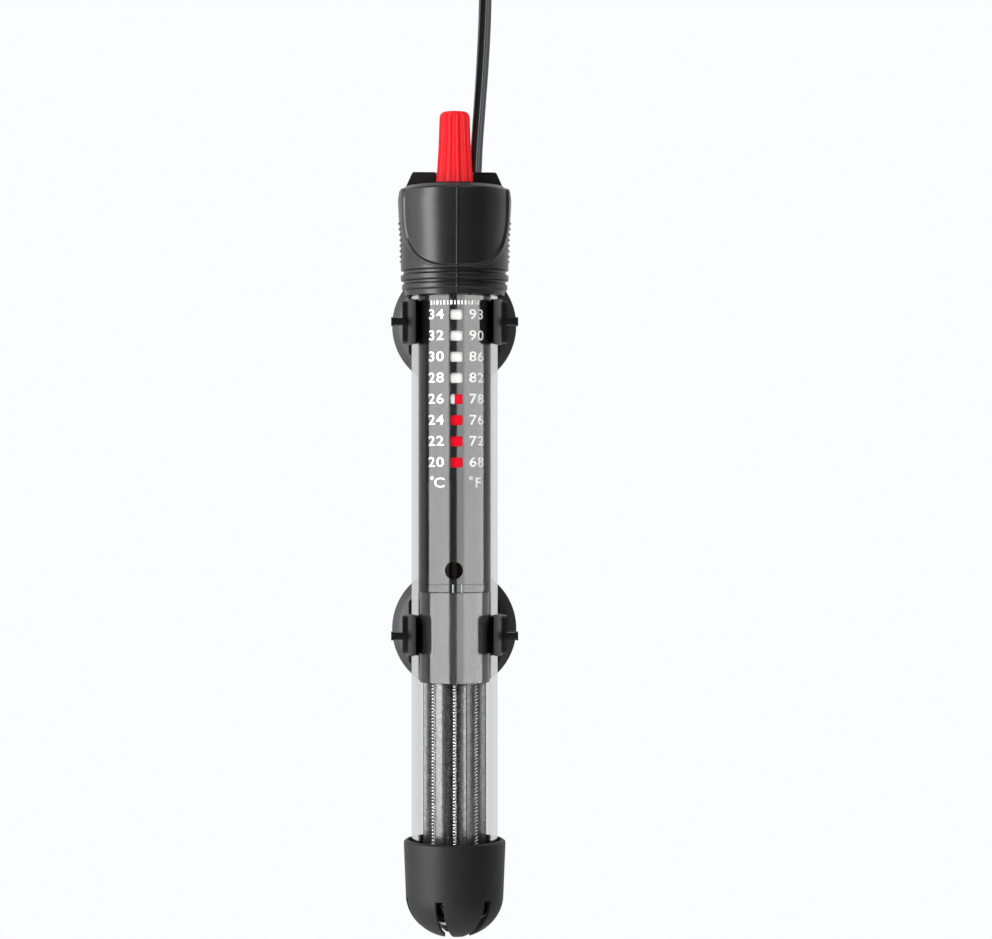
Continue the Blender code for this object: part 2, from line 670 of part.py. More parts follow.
def make_cord():
    wire("cord_lead", CORD_WIDTH / 2, spline_points(LEAD_ROUTE, 2 * CORD_WIDTH), BLACK_RUBBER)
    wire("cord_tail", CORD_WIDTH / 2, spline_points(TAIL_ROUTE, CORD_WIDTH), BLACK_RUBBER)
    plate("cord_hank", hank_outline(), HANK_WIDTH, BLACK_RUBBER, (HANK_X, HANK_Y, 0),
          (math.pi / 2, 0, math.pi / 2))
    middle = (HANK_UPPER + HANK_LOWER) / 2
    half_depth = HANK_FOLD - HANK_WAIST + 0.7
    half_width = HANK_WIDTH / 2 + GAP
    tie = block("hank_tie", (2 * half_width + 3, 2 * half_depth + 3, 5.0), (HANK_X, HANK_Y, middle),
                BLACK_PLASTIC)
    hole = block("tie_hole", (2 * half_width, 2 * half_depth, 9.0), (HANK_X, HANK_Y, middle),
                 group=CUTTERS)
    cut(tie, hole)


def make_plug():
    """A moulded two-blade plug hanging under the hank."""
    centre = (PLUG_X, PLUG_Y)
    rod("plug_strain_relief", 3.1, (*centre, RELIEF_TOP), (*centre, PLUG_TOP + GAP), BLACK_RUBBER,
        end_radius=4.6)
    outline = [(-6.5, PLUG_TOP), (6.5, PLUG_TOP), (9.0, -95.0), (12.0, -102.0), (12.0, -112.0),
               (11.0, -113.0), (-11.0, -113.0), (-12.0, -112.0), (-12.0, -102.0), (-9.0, -95.0)]
    plate("plug_body", outline, 14.0, BLACK_RUBBER, (PLUG_X, PLUG_Y, 0), (math.pi / 2, 0, math.pi / 2))
    for side, offset in (("front", -6.35), ("rear", 6.35)):
        block(f"plug_blade_{side}", (6.35, 1.5, 15.9), (PLUG_X, PLUG_Y + offset, -113.3 - 7.95), BRASS)


# ------------------------------------------------------------------- assembly
make_glass_tube()
make_head_cap()
make_head_inside()
make_scale_sleeve()
make_lower_sleeves()
make_ceramic_core()
make_insulators(make_heating_coil())
make_thermostat()
make_mains_wires()
make_knob(pivot("knob_axis", (*AXIS, HEAD_TOP)))
make_adjuster(pivot("adjuster_axis", (*AXIS, -6.6)))
make_leaf(pivot("leaf_axis", (-5.8, AXIS[1], -12.05)))
make_guard(pivot("guard_axis", (*AXIS, GUARD_RIM)))
for side_name, clip_height in (("upper", 12.9), ("lower", 11.7)):
    bracket_z = CUP_HEIGHTS[side_name]
    make_clip(side_name, pivot(f"{side_name}_clip_axis", (*AXIS, bracket_z)), clip_height)
    make_suction_cup(side_name, pivot(f"{side_name}_cup_axis", (0, 0, bracket_z)))
make_cord()
make_plug()
for piece in HEATER.objects:
    if piece.type == "MESH":
        smooth(piece)
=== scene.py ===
"""Studio scene of a submersible aquarium heater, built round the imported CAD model.

Lengths in this file are millimetres in the CAD's frame; scaled() turns them into
metres. Positions come from the CAD nodes' boxes, and +Y points into the tank's wall.
"""

import math

import bmesh
import bpy
from mathutils import Matrix, Vector


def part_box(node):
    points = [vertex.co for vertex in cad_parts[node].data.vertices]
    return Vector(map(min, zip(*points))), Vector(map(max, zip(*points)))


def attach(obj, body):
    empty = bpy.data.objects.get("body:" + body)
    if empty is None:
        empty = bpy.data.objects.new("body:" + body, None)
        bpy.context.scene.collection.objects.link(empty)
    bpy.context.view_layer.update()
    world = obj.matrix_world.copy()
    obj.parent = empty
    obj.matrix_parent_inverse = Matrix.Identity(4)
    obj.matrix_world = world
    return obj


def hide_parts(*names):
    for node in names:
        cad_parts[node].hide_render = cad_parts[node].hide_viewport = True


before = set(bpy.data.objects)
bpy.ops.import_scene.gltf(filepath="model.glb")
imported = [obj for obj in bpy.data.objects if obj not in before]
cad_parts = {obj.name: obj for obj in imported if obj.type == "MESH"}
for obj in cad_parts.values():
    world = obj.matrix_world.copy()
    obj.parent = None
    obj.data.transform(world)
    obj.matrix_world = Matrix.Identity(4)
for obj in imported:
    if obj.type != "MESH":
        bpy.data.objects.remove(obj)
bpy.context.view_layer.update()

MM = 0.001
FRONT = -math.pi / 2  # the angle round the tube that faces the camera


# ---- the frame
def low(node):
    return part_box(node)[0] / MM


def high(node):
    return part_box(node)[1] / MM


def middle(node):
    return (low(node) + high(node)) / 2


AXIS_X, AXIS_Y = middle("glass_tube").xy
TUBE_RADIUS = high("glass_tube").x - AXIS_X
TUBE_TOP, TUBE_BOTTOM = high("glass_tube").z, low("glass_tube").z
TUBE_WALL = 1.2
TUBE_DOME_DEPTH = 10.5
SLEEVE_RADIUS = high("scale_sleeve").x - AXIS_X
SLEEVE_TOP, SLEEVE_BOTTOM = high("scale_sleeve").z, low("scale_sleeve").z
HEAD_BOTTOM = low("head_cap").z
BOSS_TOP = high("head_cap").z
HEAD_TOP = BOSS_TOP - 4.25
CORD_X, CORD_Y = middle("cord_gland").xy
CORD_WIDTH, CORD_THICK = 5.0, 2.5
HEAD_TURN = math.radians(2.7)  # the head and the sleeve are turned a little to the right
WINDOW_TOP_Z = 46.8
WINDOW_PITCH = 6.07
WINDOW_COUNT = 8
WINDOW_SIZE = (3.5, 2.9)
REST_WINDOW = 4  # the window whose two colours meet in the middle
DEGREES_PER_STEP = 300 / 7
LAMP_Z = middle("pilot_lamp").z
LAMP_HOLE_RADIUS = 2.6
CORE_RADIUS = high("ceramic_core").x - AXIS_X
CORE_TOP, CORE_BOTTOM = high("ceramic_core").z, low("ceramic_core").z
GROOVES = 6
COIL_CIRCLE = 7.0  # the radius on which the runs of wire stand
GUARD_RIM = high("bottom_guard").z
KNOB_TOP, KNOB_BOTTOM = high("knob").z, low("knob").z
KNOB_FLUTES = 14


# ---- mesh helpers
def scaled(point):
    return Vector(point) * MM


def polar(radius, angle):
    return Vector((radius * math.cos(angle), radius * math.sin(angle)))


def mesh_from(name, build):
    """A mesh that a bmesh function fills, in millimetres."""
    shape = bmesh.new()
    build(shape)
    bmesh.ops.scale(shape, vec=(MM, MM, MM), verts=shape.verts)
    bmesh.ops.recalc_face_normals(shape, faces=shape.faces)
    mesh = bpy.data.meshes.new(name)
    shape.to_mesh(mesh)
    shape.free()
    return mesh


def add_object(name, mesh, at=(0, 0, 0)):
    made = bpy.data.objects.new(name, mesh)
    made.location = scaled(at)
    bpy.context.scene.collection.objects.link(made)
    return made


def evaluated_mesh(made):
    bpy.context.view_layer.update()
    graph = bpy.context.evaluated_depsgraph_get()
    return bpy.data.meshes.new_from_object(made.evaluated_get(graph))


def curve_mesh(curve):
    """The mesh of a curve or a text."""
    holder = add_object("holder", curve)
    mesh = evaluated_mesh(holder)
    bpy.data.objects.remove(holder, do_unlink=True)
    return mesh


def bake(made):
    """Apply the object's modifiers and place to its mesh."""
    mesh = evaluated_mesh(made)
    mesh.transform(made.matrix_world)
    made.modifiers.clear()
    made.data = mesh
    made.matrix_world = Matrix.Identity(4)
    return made


def carve(made, *others, operation="DIFFERENCE"):
    """Cut or join other objects with a Boolean, and remove them."""
    for other in others:
        step = made.modifiers.new("carve", "BOOLEAN")
        step.operation = operation
        step.solver = "EXACT"
        step.object = other
    bake(made)
    for other in others:
        bpy.data.objects.remove(other, do_unlink=True)
    return made


def soften(made, width, segments=2, angle=40):
    """Round the sharp edges."""
    edge = made.modifiers.new("soft_edges", "BEVEL")
    edge.width = width * MM
    edge.segments = segments
    edge.angle_limit = math.radians(angle)
    return bake(made)


def finish_piece(made, look, body, nodes=(), sharp=35):
    """Shade, colour and mount a piece, in place of the CAD nodes that it stands for."""
    made.data.materials.clear()
    made.data.materials.append(look)
    made.data.shade_smooth()
    made.data.set_sharp_from_angle(angle=math.radians(sharp))
    if nodes:
        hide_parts(*nodes)
    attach(made, body)
    return made


def rounded(outline, radius, closed=True, steps=4):
    """The outline with each corner turned into an arc. radius is one number, or a
    function of the corner's index."""
    points = [Vector(point) for point in outline]
    count = len(points)
    result = []
    for index, corner in enumerate(points):
        size = radius(index) if callable(radius) else radius
        if not size or (not closed and index in (0, count - 1)):
            result.append(corner)
            continue
        before = points[index - 1] - corner
        after = points[(index + 1) % count] - corner
        bend = before.angle(after)
        if bend > math.radians(176):
            result.append(corner)
            continue
        reach = min(size / math.tan(bend / 2), 0.45 * before.length, 0.45 * after.length)
        start, end = corner + before.normalized() * reach, corner + after.normalized() * reach
        for step in range(steps + 1):
            t = step / steps
            result.append(start.lerp(corner, t).lerp(corner.lerp(end, t), t))
    return result


def lathe(name, profile, at=None, steps=96, wave=None, angles=None):
    """A turned mesh. The profile is a closed loop of (radius, height); a stretch on the
    axis is left out. wave(radius, height, angle) gives another radius."""
    profile = [tuple(point) for point in profile]
    angles = angles or [math.tau * step / steps for step in range(steps)]
    steps = len(angles)

    def build(shape):
        rings = []
        for radius, height in profile:
            if radius < 1e-6:
                rings.append([shape.verts.new((0, 0, height))])
                continue
            ring = []
            for angle in angles:
                reach = wave(radius, height, angle) if wave else radius
                ring.append(shape.verts.new((*polar(reach, angle), height)))
            rings.append(ring)
        for upper, lower in zip(rings, [*rings[1:], rings[0]]):
            if len(upper) == 1 and len(lower) == 1:
                continue
            for step in range(steps):
                corners = [upper[step % len(upper)], upper[(step + 1) % len(upper)],
                           lower[(step + 1) % len(lower)], lower[step % len(lower)]]
                shape.faces.new(list(dict.fromkeys(corners)))

    made = add_object(name, mesh_from(name, build), at or (AXIS_X, AXIS_Y, 0))
    return bake(made)


def prism(name, outline, bottom, top, turn=None, at=(0, 0, 0)):
    """A flat outline pushed along Z, then turned."""
    def build(shape):
        lower = [shape.verts.new((x, y, bottom)) for x, y in outline]
        upper = [shape.verts.new((x, y, top)) for x, y in outline]
        shape.faces.new(lower)
        shape.faces.new(upper)
        for index in range(len(outline)):
            following = (index + 1) % len(outline)
            shape.faces.new([lower[index], lower[following], upper[following], upper[index]])

    made = add_object(name, mesh_from(name, build), at)
    if turn:
        made.rotation_euler = turn
    return bake(made)


def rectangle(x, y):
    """The corners of a rectangle with half sides x and y."""
    return [(-x, -y), (x, -y), (x, y), (-x, y)]


def box(name, size, centre, turn_z=0.0):
    x, y, z = (side / 2 for side in size)
    made = prism(name, rectangle(x, y), -z, z)
    made.data.transform(Matrix.Translation(scaled(centre)) @ Matrix.Rotation(turn_z, 4, "Z"))
    return made


def rod(name, radius, start, end, steps=48):
    start, end = Vector(start), Vector(end)
    along = end - start
    made = prism(name, [polar(radius, math.tau * k / steps) for k in range(steps)], 0, along.length)
    turn = along.to_track_quat("Z", "Y").to_matrix().to_4x4()
    made.data.transform(Matrix.Translation(scaled(start)) @ turn)
    return made


def catmull(knots, spacing):
    """Points about spacing apart on a smooth curve through the knots, in any dimension."""
    knots = [Vector(knot) for knot in knots]
    knots = [2 * knots[0] - knots[1], *knots, 2 * knots[-1] - knots[-2]]
    points = []
    for before, start, end, after in zip(knots, knots[1:], knots[2:], knots[3:]):
        steps = max(1, round((end - start).length / spacing))
        for step in range(steps):
            t = step / steps
            points.append(0.5 * (
                2 * start + (end - before) * t
                + (2 * before - 5 * start + 4 * end - after) * t ** 2
                + (3 * start - before - 3 * end + after) * t ** 3
            ))
    return [*points, knots[-2]]


def sweep(name, points, section, sides_at):
    """A tube of a given section along points. sides_at(index) is the direction of the
    section's first axis there."""
    def build(shape):
        rings = []
        for index, point in enumerate(points):
            tangent = (points[min(index + 1, len(points) - 1)] - points[max(index - 1, 0)]).normalized()
            side = sides_at(index)
            side = (side - tangent * side.dot(tangent)).normalized()
            other = tangent.cross(side)
            rings.append([shape.verts.new(point + side * x + other * y) for x, y in section])
        count = len(section)
        for first, second in zip(rings, rings[1:]):
            for step in range(count):
                shape.faces.new([first[step], first[(step + 1) % count],
                                 second[(step + 1) % count], second[step]])
        shape.faces.new(rings[0])
        shape.faces.new(rings[-1])

    return add_object(name, mesh_from(name, build))


def smoothstep(share):
    share = min(1.0, max(0.0, share))
    return share * share * (3 - 2 * share)


# ---- materials
def add_node(tree, kind, **values):
    """A shader node. values are its inputs by name, with _ where a name has a space."""
    node = tree.nodes.new(f"ShaderNode{kind}")
    for name, value in values.items():
        node.inputs[name.replace("_", " ")].default_value = value
    return node


def mix_colours(tree, share, first, second):
    """A colour between two, by a share from 0 to 1."""
    blend = add_node(tree, "Mix")
    blend.data_type = "RGBA"
    blend.inputs[6].default_value = (*first, 1)
    blend.inputs[7].default_value = (*second, 1)
    tree.links.new(share, blend.inputs["Factor"])
    return blend.outputs[2]


def mix_shaders(tree, share, first, second, output):
    """Sends a mix of two shaders to the tree's output, by a share from 0 to 1."""
    blend = add_node(tree, "MixShader")
    for socket, source in zip(blend.inputs, (share, first.outputs[0], second.outputs[0])):
        tree.links.new(source, socket)
    tree.links.new(blend.outputs["Shader"], tree.nodes[output].inputs["Surface"])


def surface(name, colour, roughness, metallic=0.0, specular=0.5, grain=0.3, bump=0.1,
            tone=0.08, patch=6.0):
    """A moulded or turned surface. grain is the size of its fine bumps and patch the
    size of its slow changes of tone, in millimetres."""
    made = bpy.data.materials.new(name)
    made.use_nodes = True
    tree = made.node_tree
    shader = tree.nodes["Principled BSDF"]
    shader.inputs["Metallic"].default_value = metallic
    shader.inputs["Specular IOR Level"].default_value = specular
    place = add_node(tree, "TexCoord")

    def noise(size, detail):
        made_noise = add_node(tree, "TexNoise", Scale=1 / (size * MM), Detail=detail)
        tree.links.new(place.outputs["Object"], made_noise.inputs["Vector"])
        return made_noise.outputs["Fac"]

    slow = noise(patch, 3)
    dark = [channel * (1 - tone) for channel in colour]
    light = [min(1.0, channel * (1 + tone)) for channel in colour]
    tree.links.new(mix_colours(tree, slow, dark, light), shader.inputs["Base Color"])
    wear = add_node(tree, "MapRange", To_Min=max(0.0, roughness - 0.06),
                    To_Max=min(1.0, roughness + 0.06))
    tree.links.new(slow, wear.inputs["Value"])
    tree.links.new(wear.outputs["Result"], shader.inputs["Roughness"])
    relief = add_node(tree, "Bump", Strength=bump, Distance=grain * MM * 0.2)
    tree.links.new(noise(grain, 2), relief.inputs["Height"])
    tree.links.new(relief.outputs["Normal"], shader.inputs["Normal"])
    return made


def clear_wall(name, index, edge_mirror):
    """A thin glass wall seen as one face. It mirrors by the angle, and where it is seen
    nearly edge on it mirrors as strongly as light caught inside a thick wall."""
    made = bpy.data.materials.new(name)
    made.use_nodes = True
    tree = made.node_tree
    tree.nodes.remove(tree.nodes["Principled BSDF"])

    def math_node(operation, first, second):
        node = add_node(tree, "Math")
        node.operation = operation
        for socket, value in zip(node.inputs, (first, second)):
            if isinstance(value, float):
                socket.default_value = value
            else:
                tree.links.new(value, socket)
        return node.outputs[0]

    through = add_node(tree, "BsdfTransparent")
    mirror = add_node(tree, "BsdfGlossy", Roughness=0.03)
    facing = add_node(tree, "LayerWeight", Blend=0.5).outputs["Facing"]
    tint = mix_colours(tree, facing, (0.995, 0.995, 0.995), (0.8, 0.8, 0.8))
    tree.links.new(tint, through.inputs["Color"])
    fresnel = add_node(tree, "Fresnel", IOR=index)
    edge = add_node(tree, "MapRange", From_Min=0.42, From_Max=0.50, To_Max=edge_mirror)
    edge.interpolation_type = "SMOOTHSTEP"
    tree.links.new(facing, edge.inputs["Value"])
    side = add_node(tree, "NewGeometry")
    outside = math_node("SUBTRACT", 1.0, side.outputs["Backfacing"])
    share = math_node("MAXIMUM", fresnel.outputs["Fac"], edge.outputs["Result"])
    share = math_node("MULTIPLY", share, outside)
    mix_shaders(tree, share, through, mirror, "Material Output")
    return made


RUBBER = surface("black_rubber", (0.013, 0.013, 0.014), 0.33, grain=0.25, bump=0.25)
CLIP_RUBBER = surface("clip_rubber", (0.013, 0.013, 0.014), 0.42, grain=0.25, bump=0.25)
CUP_RUBBER = surface("cup_rubber", (0.022, 0.022, 0.023), 0.45, grain=0.4, bump=0.15)
GUARD_PLASTIC = surface("guard_plastic", (0.012, 0.012, 0.013), 0.52, specular=0.35, grain=0.2, bump=0.3)
SLEEVE_PLASTIC = surface("sleeve_plastic", (0.004, 0.004, 0.004), 0.13, bump=0.03)
SHIELD_PLASTIC = surface("shield_plastic", (0.015, 0.015, 0.015), 0.13, bump=0.03)
RED = surface("red_plastic", (0.74, 0.003, 0.010), 0.36, specular=0.22, grain=0.3, bump=0.06,
              tone=0.04)
BAND_RED = surface("band_red", (0.70, 0.003, 0.016), 0.7, specular=0.05, bump=0.03, tone=0.03)
WHITE = surface("white_plastic", (0.86, 0.86, 0.85), 0.4, tone=0.02)
PRINT = surface("white_print", (0.93, 0.93, 0.92), 0.5, tone=0.01, bump=0.02)
CERAMIC = surface("core_ceramic", (0.035, 0.035, 0.036), 0.27, specular=1.0, grain=0.15, bump=0.03,
                  tone=0.06, patch=2)
WIRE = surface("resistance_wire", (0.86, 0.85, 0.84), 0.22, metallic=1.0, grain=0.1)
STEEL = surface("plain_steel", (0.55, 0.56, 0.57), 0.3, metallic=1.0, grain=0.1)
BRASS = surface("brass", (0.74, 0.55, 0.26), 0.28, metallic=1.0, grain=0.1)
LAMP = surface("lamp_glass", (0.02, 0.012, 0.010), 0.12, specular=0.8, bump=0.0)
CORD_SHEATH = surface("cord_sheath", (0.020, 0.020, 0.021), 0.24, grain=0.2, bump=0.1)
PLUG_PLASTIC = surface("plug_plastic", (0.022, 0.022, 0.023), 0.42, grain=0.25, bump=0.25)
TIE_PLASTIC = surface("tie_plastic", (0.03, 0.03, 0.032), 0.35)
GREY = surface("grey_plastic", (0.16, 0.16, 0.165), 0.4)
GLASS = clear_wall("tube_glass", 1.3, 0.85)
GLASS_INSIDE = clear_wall("tube_glass_inside", 1.05, 0.0)


# ---- camera
def make_camera():
    """Square to the wall, almost straight in front of the tube. The photo is cropped with
    the heater left of its middle, which is what the shift is for."""
    eye = bpy.data.cameras.new("camera")
    eye.lens = 101.36
    eye.sensor_width = 36.0
    eye.shift_x = 0.0521
    camera = bpy.data.objects.new("camera", eye)
    camera.location = scaled((-3.0, -844.0, 2.3))
    camera.rotation_euler = (math.pi / 2, 0, 0)
    bpy.context.scene.collection.objects.link(camera)
    bpy.context.scene.camera = camera


# ---- cord
# The cord from the head over the tank's rim to the hank.
LEAD_ROUTE = [
    (6.2, -24.7, 89.2), (6.5, -24.7, 96.0), (6.9, -24.7, 102.0), (7.5, -24.7, 110.0),
    (8.3, -24.7, 121.0), (8.9, -24.7, 132.0), (9.2, -24.7, 142.0), (9.3, -24.7, 153.0),
    (9.3, -24.5, 163.0), (9.3, -22.4, 172.0), (9.3, -17.6, 179.5), (9.3, -10.8, 184.2),
    (9.3, -2.7, 185.8), (9.3, 5.4, 184.2), (9.3, 12.2, 179.5), (9.3, 17.0, 172.0),
    (9.2, 19.2, 163.0), (9.1, 19.3, 153.0), (8.8, 19.3, 142.0), (8.3, 19.3, 131.0),
    (7.6, 19.3, 119.0), (6.8, 19.3, 108.0), (6.2, 19.1, 98.0), (5.7, 18.0, 88.0),
    (5.1, 15.8, 78.0), (4.7, 13.4, 69.0), (4.4, 11.8, 60.4),
]
# The cord from the hank to the plug.
TAIL_ROUTE = [
    (-0.9, 11.6, -41.5), (-0.9, 13.1, -47.5), (-0.9, 15.6, -53.5), (-0.9, 18.1, -59.2),
    (-0.9, 19.6, -63.0), (-0.9, 20.0, -66.4), (-0.9, 20.0, -70.0),
]
# How far the flat cord is turned at places on the lead: 0 has its width along X, and 1
# has it along Y, so that the camera sees the thin edge.
LEAD_TURNS = [(0, 0.73), (6, 0.73), (9, 0), (15, 0), (17, 1), (22, 1), (26, 0)]
HANK_LANES = (4.4, -0.9, -6.2)  # X of each layer: the one it enters, leaves and crosses to
HANK_Y = middle("cord_hank").y
HANK_UPPER, HANK_LOWER = 45.0, -36.0  # centres of the folds
HANK_WAIST = 11.0
FOLD_OUTER, FOLD_INNER = 21.7, 18.9


def hank_route():
    """Runs and folds wound from the front outer corner of the first layer inwards, over
    to the last layer, outwards, and down the middle layer to the plug."""
    enter, leave, across = HANK_LANES
    points = []

    def run(lane, offset, down):
        for step in range(1, 12):
            share = step / 12
            height = HANK_UPPER + (HANK_LOWER - HANK_UPPER) * (share if down else 1 - share)
            drawn = HANK_WAIST * math.sin(math.pi * share) ** 2
            points.append((lane, HANK_Y + math.copysign(abs(offset) - drawn, offset), height, 0))

    def fold(lanes, radii, upper, rise=0.0):
        """Half a turn from the front to the back below, and back to the front above."""
        for step in range(19):
            share = step / 18
            angle = math.pi * share
            radius = radii[0] + (radii[1] - radii[0]) * share + rise * math.sin(angle)
            lane = lanes[0] + (lanes[1] - lanes[0]) * (1 - math.cos(angle)) / 2
            if upper:
                points.append((lane, HANK_Y + radius * math.cos(angle),
                               HANK_UPPER + radius * math.sin(angle), 0))
            else:
                points.append((lane, HANK_Y - radius * math.cos(angle),
                               HANK_LOWER - radius * math.sin(angle), 0))

    def loop(lane, radius):
        run(lane, -radius, True)
        fold((lane, lane), (radius, radius), False)
        run(lane, radius, False)

    points.append((enter, HANK_Y - FOLD_OUTER, HANK_UPPER, 0))
    loop(enter, FOLD_OUTER)
    fold((enter, enter), (FOLD_OUTER, FOLD_INNER), True)
    loop(enter, FOLD_INNER)
    fold((enter, across), (FOLD_INNER, FOLD_INNER), True, -4.0)
    loop(across, FOLD_INNER)
    fold((across, across), (FOLD_INNER, FOLD_OUTER), True)
    loop(across, FOLD_OUTER)
    fold((across, leave), (FOLD_OUTER, FOLD_OUTER), True, 4.0)
    run(leave, -FOLD_OUTER, True)
    points.append((leave, HANK_Y - FOLD_OUTER, HANK_LOWER, 0))
    return points


def lead_turn(index):
    for (first, start), (second, end) in zip(LEAD_TURNS, LEAD_TURNS[1:]):
        if index <= second:
            return start + (end - start) * smoothstep((index - first) / (second - first))
    return 0


def twin_section(width, thick, steps=9):
    """Two round cores side by side, with a filled valley between them."""
    radius = thick / 2
    reach = math.radians(128)
    points = []
    for sign in (1, -1):
        for step in range(steps):
            angle = -reach + 2 * reach * step / (steps - 1)
            points.append((sign * (width / 2 - radius + radius * math.cos(angle)),
                           sign * radius * math.sin(angle)))
    return points


def make_cord():
    """The mains cord, its tie and its two-blade plug."""
    knots = [(CORD_X, CORD_Y, HEAD_TOP + 1, 1)]
    knots += [(*point, lead_turn(index)) for index, point in enumerate(LEAD_ROUTE)]
    knots += hank_route()
    knots += [(*point, smoothstep(index / 5)) for index, point in enumerate(TAIL_ROUTE)]
    dense = catmull(knots, 2.0)
    points = [point.xyz for point in dense]

    def side(index):
        angle = dense[index].w * math.pi / 2
        return Vector((math.cos(angle), math.sin(angle), 0))

    cord = sweep("mains_cord", points, twin_section(CORD_WIDTH, CORD_THICK), side)
    finish_piece(cord, CORD_SHEATH, "heater", ("cord_lead", "cord_hank", "cord_tail"),
                 sharp=60)
    on_it = [make_tie(), *make_plug()]
    return cord


def make_tie():
    """A rounded plastic band with a small buckle at the rear."""
    centre = middle("hank_tie")
    outer = high("hank_tie") - centre
    x, y, wall, half = outer.x, outer.y, 1.4, 2.4
    loop = rounded(rectangle(x, y), 3.0, steps=6)
    hole = rounded(rectangle(x - wall, y - wall), 2.0, steps=6)
    band = prism("cord_tie", loop, -half, half, at=centre)
    carve(band, prism("tie_hole", hole, -6, 6, at=centre))
    buckle = box("tie_buckle", (6, 2.4, 2 * half), centre + Vector((0, y - 1.3, 0)))
    carve(band, buckle, operation="UNION")
    soften(band, 0.3)
    return finish_piece(band, TIE_PLASTIC, "heater", ("hank_tie",))


def make_plug():
    """The plug's body with grip lines, its ribbed strain relief and its two blades."""
    centre = middle("plug_body")
    top, bottom = high("plug_body").z, low("plug_body").z
    half = (high("plug_body").x - low("plug_body").x) / 2
    outline = [
        (-5.8, top), (5.8, top), (8.6, top - 7), (12, top - 15), (12, bottom), (-12, bottom),
        (-12, top - 15), (-8.6, top - 7),
    ]
    body = prism("mains_plug", rounded(outline, lambda k: 1.2 if k in (4, 5) else 5.0), -half, half,
                 turn=(math.pi / 2, 0, math.pi / 2), at=(centre.x, centre.y, 0))
    for sign in (-1, 1):
        carve(body, *[
            box("grip", (1.2, 14, 0.9), (centre.x + sign * half, centre.y, top - 8 - 2.2 * k))
            for k in range(4)
        ])
    soften(body, 0.9, 3)
    finish_piece(body, PLUG_PLASTIC, "heater", ("plug_body",))
    upper, lower = high("plug_strain_relief").z, low("plug_strain_relief").z + 0.3
    profile = [(2.8, upper), (3.1, upper - 0.3)]
    for index in range(6):
        z = upper - 1.5 - index * 2.9
        radius = 3.2 + 0.25 * index
        profile += [(radius, z), (radius, z - 1.7), (radius - 0.7, z - 1.9), (radius - 0.7, z - 2.7)]
    profile += [(4.5, lower), (0, lower), (0, upper)]
    relief = lathe("plug_relief", rounded(profile, 0.15, steps=2), (centre.x, centre.y, 0), 40)
    finish_piece(relief, PLUG_PLASTIC, "heater", ("plug_strain_relief",))
    blades = []
    for side in ("front", "rear"):
        node = f"plug_blade_{side}"
        size, spot = high(node) - low(node), middle(node)
        blade = box(f"plug_pin_{side}", size, spot)
        level = low(node).z + 3.6
        carve(blade, rod("pin_hole", 1.6, (spot.x, spot.y - 3, level), (spot.x, spot.y + 3, level)))
        soften(blade, 0.35)
        blades.append(finish_piece(blade, BRASS, "heater", (node,)))
    return [body, relief, *blades]


# ---- glass tube
def make_glass():
    """Outer and inner faces of the tube; only the outer one mirrors much."""
    centre = TUBE_BOTTOM + TUBE_DOME_DEPTH
    inner = TUBE_RADIUS - TUBE_WALL

    def dome(radius, down):
        return [(radius * math.cos(math.pi / 2 * k / 16), centre - down * math.sin(math.pi / 2 * k / 16))
                for k in range(16)]

    profile = [
        (TUBE_RADIUS, TUBE_TOP), *dome(TUBE_RADIUS, TUBE_DOME_DEPTH), (0, TUBE_BOTTOM),
        (0, TUBE_BOTTOM + TUBE_WALL), *reversed(dome(inner, TUBE_DOME_DEPTH - TUBE_WALL)),
        (inner, TUBE_TOP),
    ]
    tube = lathe("tube", profile, steps=128)
    finish_piece(tube, GLASS, "heater", ("glass_tube",), sharp=60)
    tube.data.materials.append(GLASS_INSIDE)
    axis = scaled((AXIS_X, AXIS_Y, 0))
    for face in tube.data.polygons:
        outward = face.center - axis
        outward.z = face.center.z - centre * MM if face.center.z < centre * MM else 0
        if face.normal.dot(outward) < 0:
            face.material_index = 1
    return tube


# ---- head
PANEL_HALF_WIDTH, PANEL_LEVEL, PANEL_DEPTH = 15.2, 80.0, 19.5
PANEL_END = 58  # the panel stops over the ring grooves
GRIP_TOP, GRIP_BOTTOM, GRIP_PITCH = 74.0, 62.5, 1.6
GRIP_SPREAD = math.radians(21)
SPINDLE_WAY = 3.0


def head_radius(radius, height, angle):
    """The head's outer face: a sunk U-shaped front panel inside a fine bead, a mould
    line down the front, and short grip ridges at both sides."""
    around = math.remainder(angle - FRONT - HEAD_TURN, math.tau)
    if not HEAD_BOTTOM < height < HEAD_TOP or radius < 13:
        return radius
    if math.cos(around) > 0:
        across = abs(radius * math.sin(around)) / PANEL_HALF_WIDTH
        below = max(0.0, (PANEL_LEVEL - height) / PANEL_DEPTH)
        inside = (1 - (across ** 3 + below ** 3) ** (1 / 3)) * PANEL_HALF_WIDTH
        if height > PANEL_END:
            radius -= 0.4 * smoothstep(inside / 0.4)
            radius += 0.24 * math.exp(-((inside + 0.2) / 0.26) ** 2)
        radius += 0.16 * math.exp(-(around * radius / 0.3) ** 2)
    beside = abs(abs(around) - math.radians(98))
    if beside < GRIP_SPREAD and GRIP_BOTTOM < height < GRIP_TOP:
        ridge = max(0.0, math.cos(math.tau * (height - GRIP_BOTTOM) / GRIP_PITCH))
        radius += 0.4 * ridge * smoothstep((GRIP_SPREAD - beside) / 0.12)
    return radius


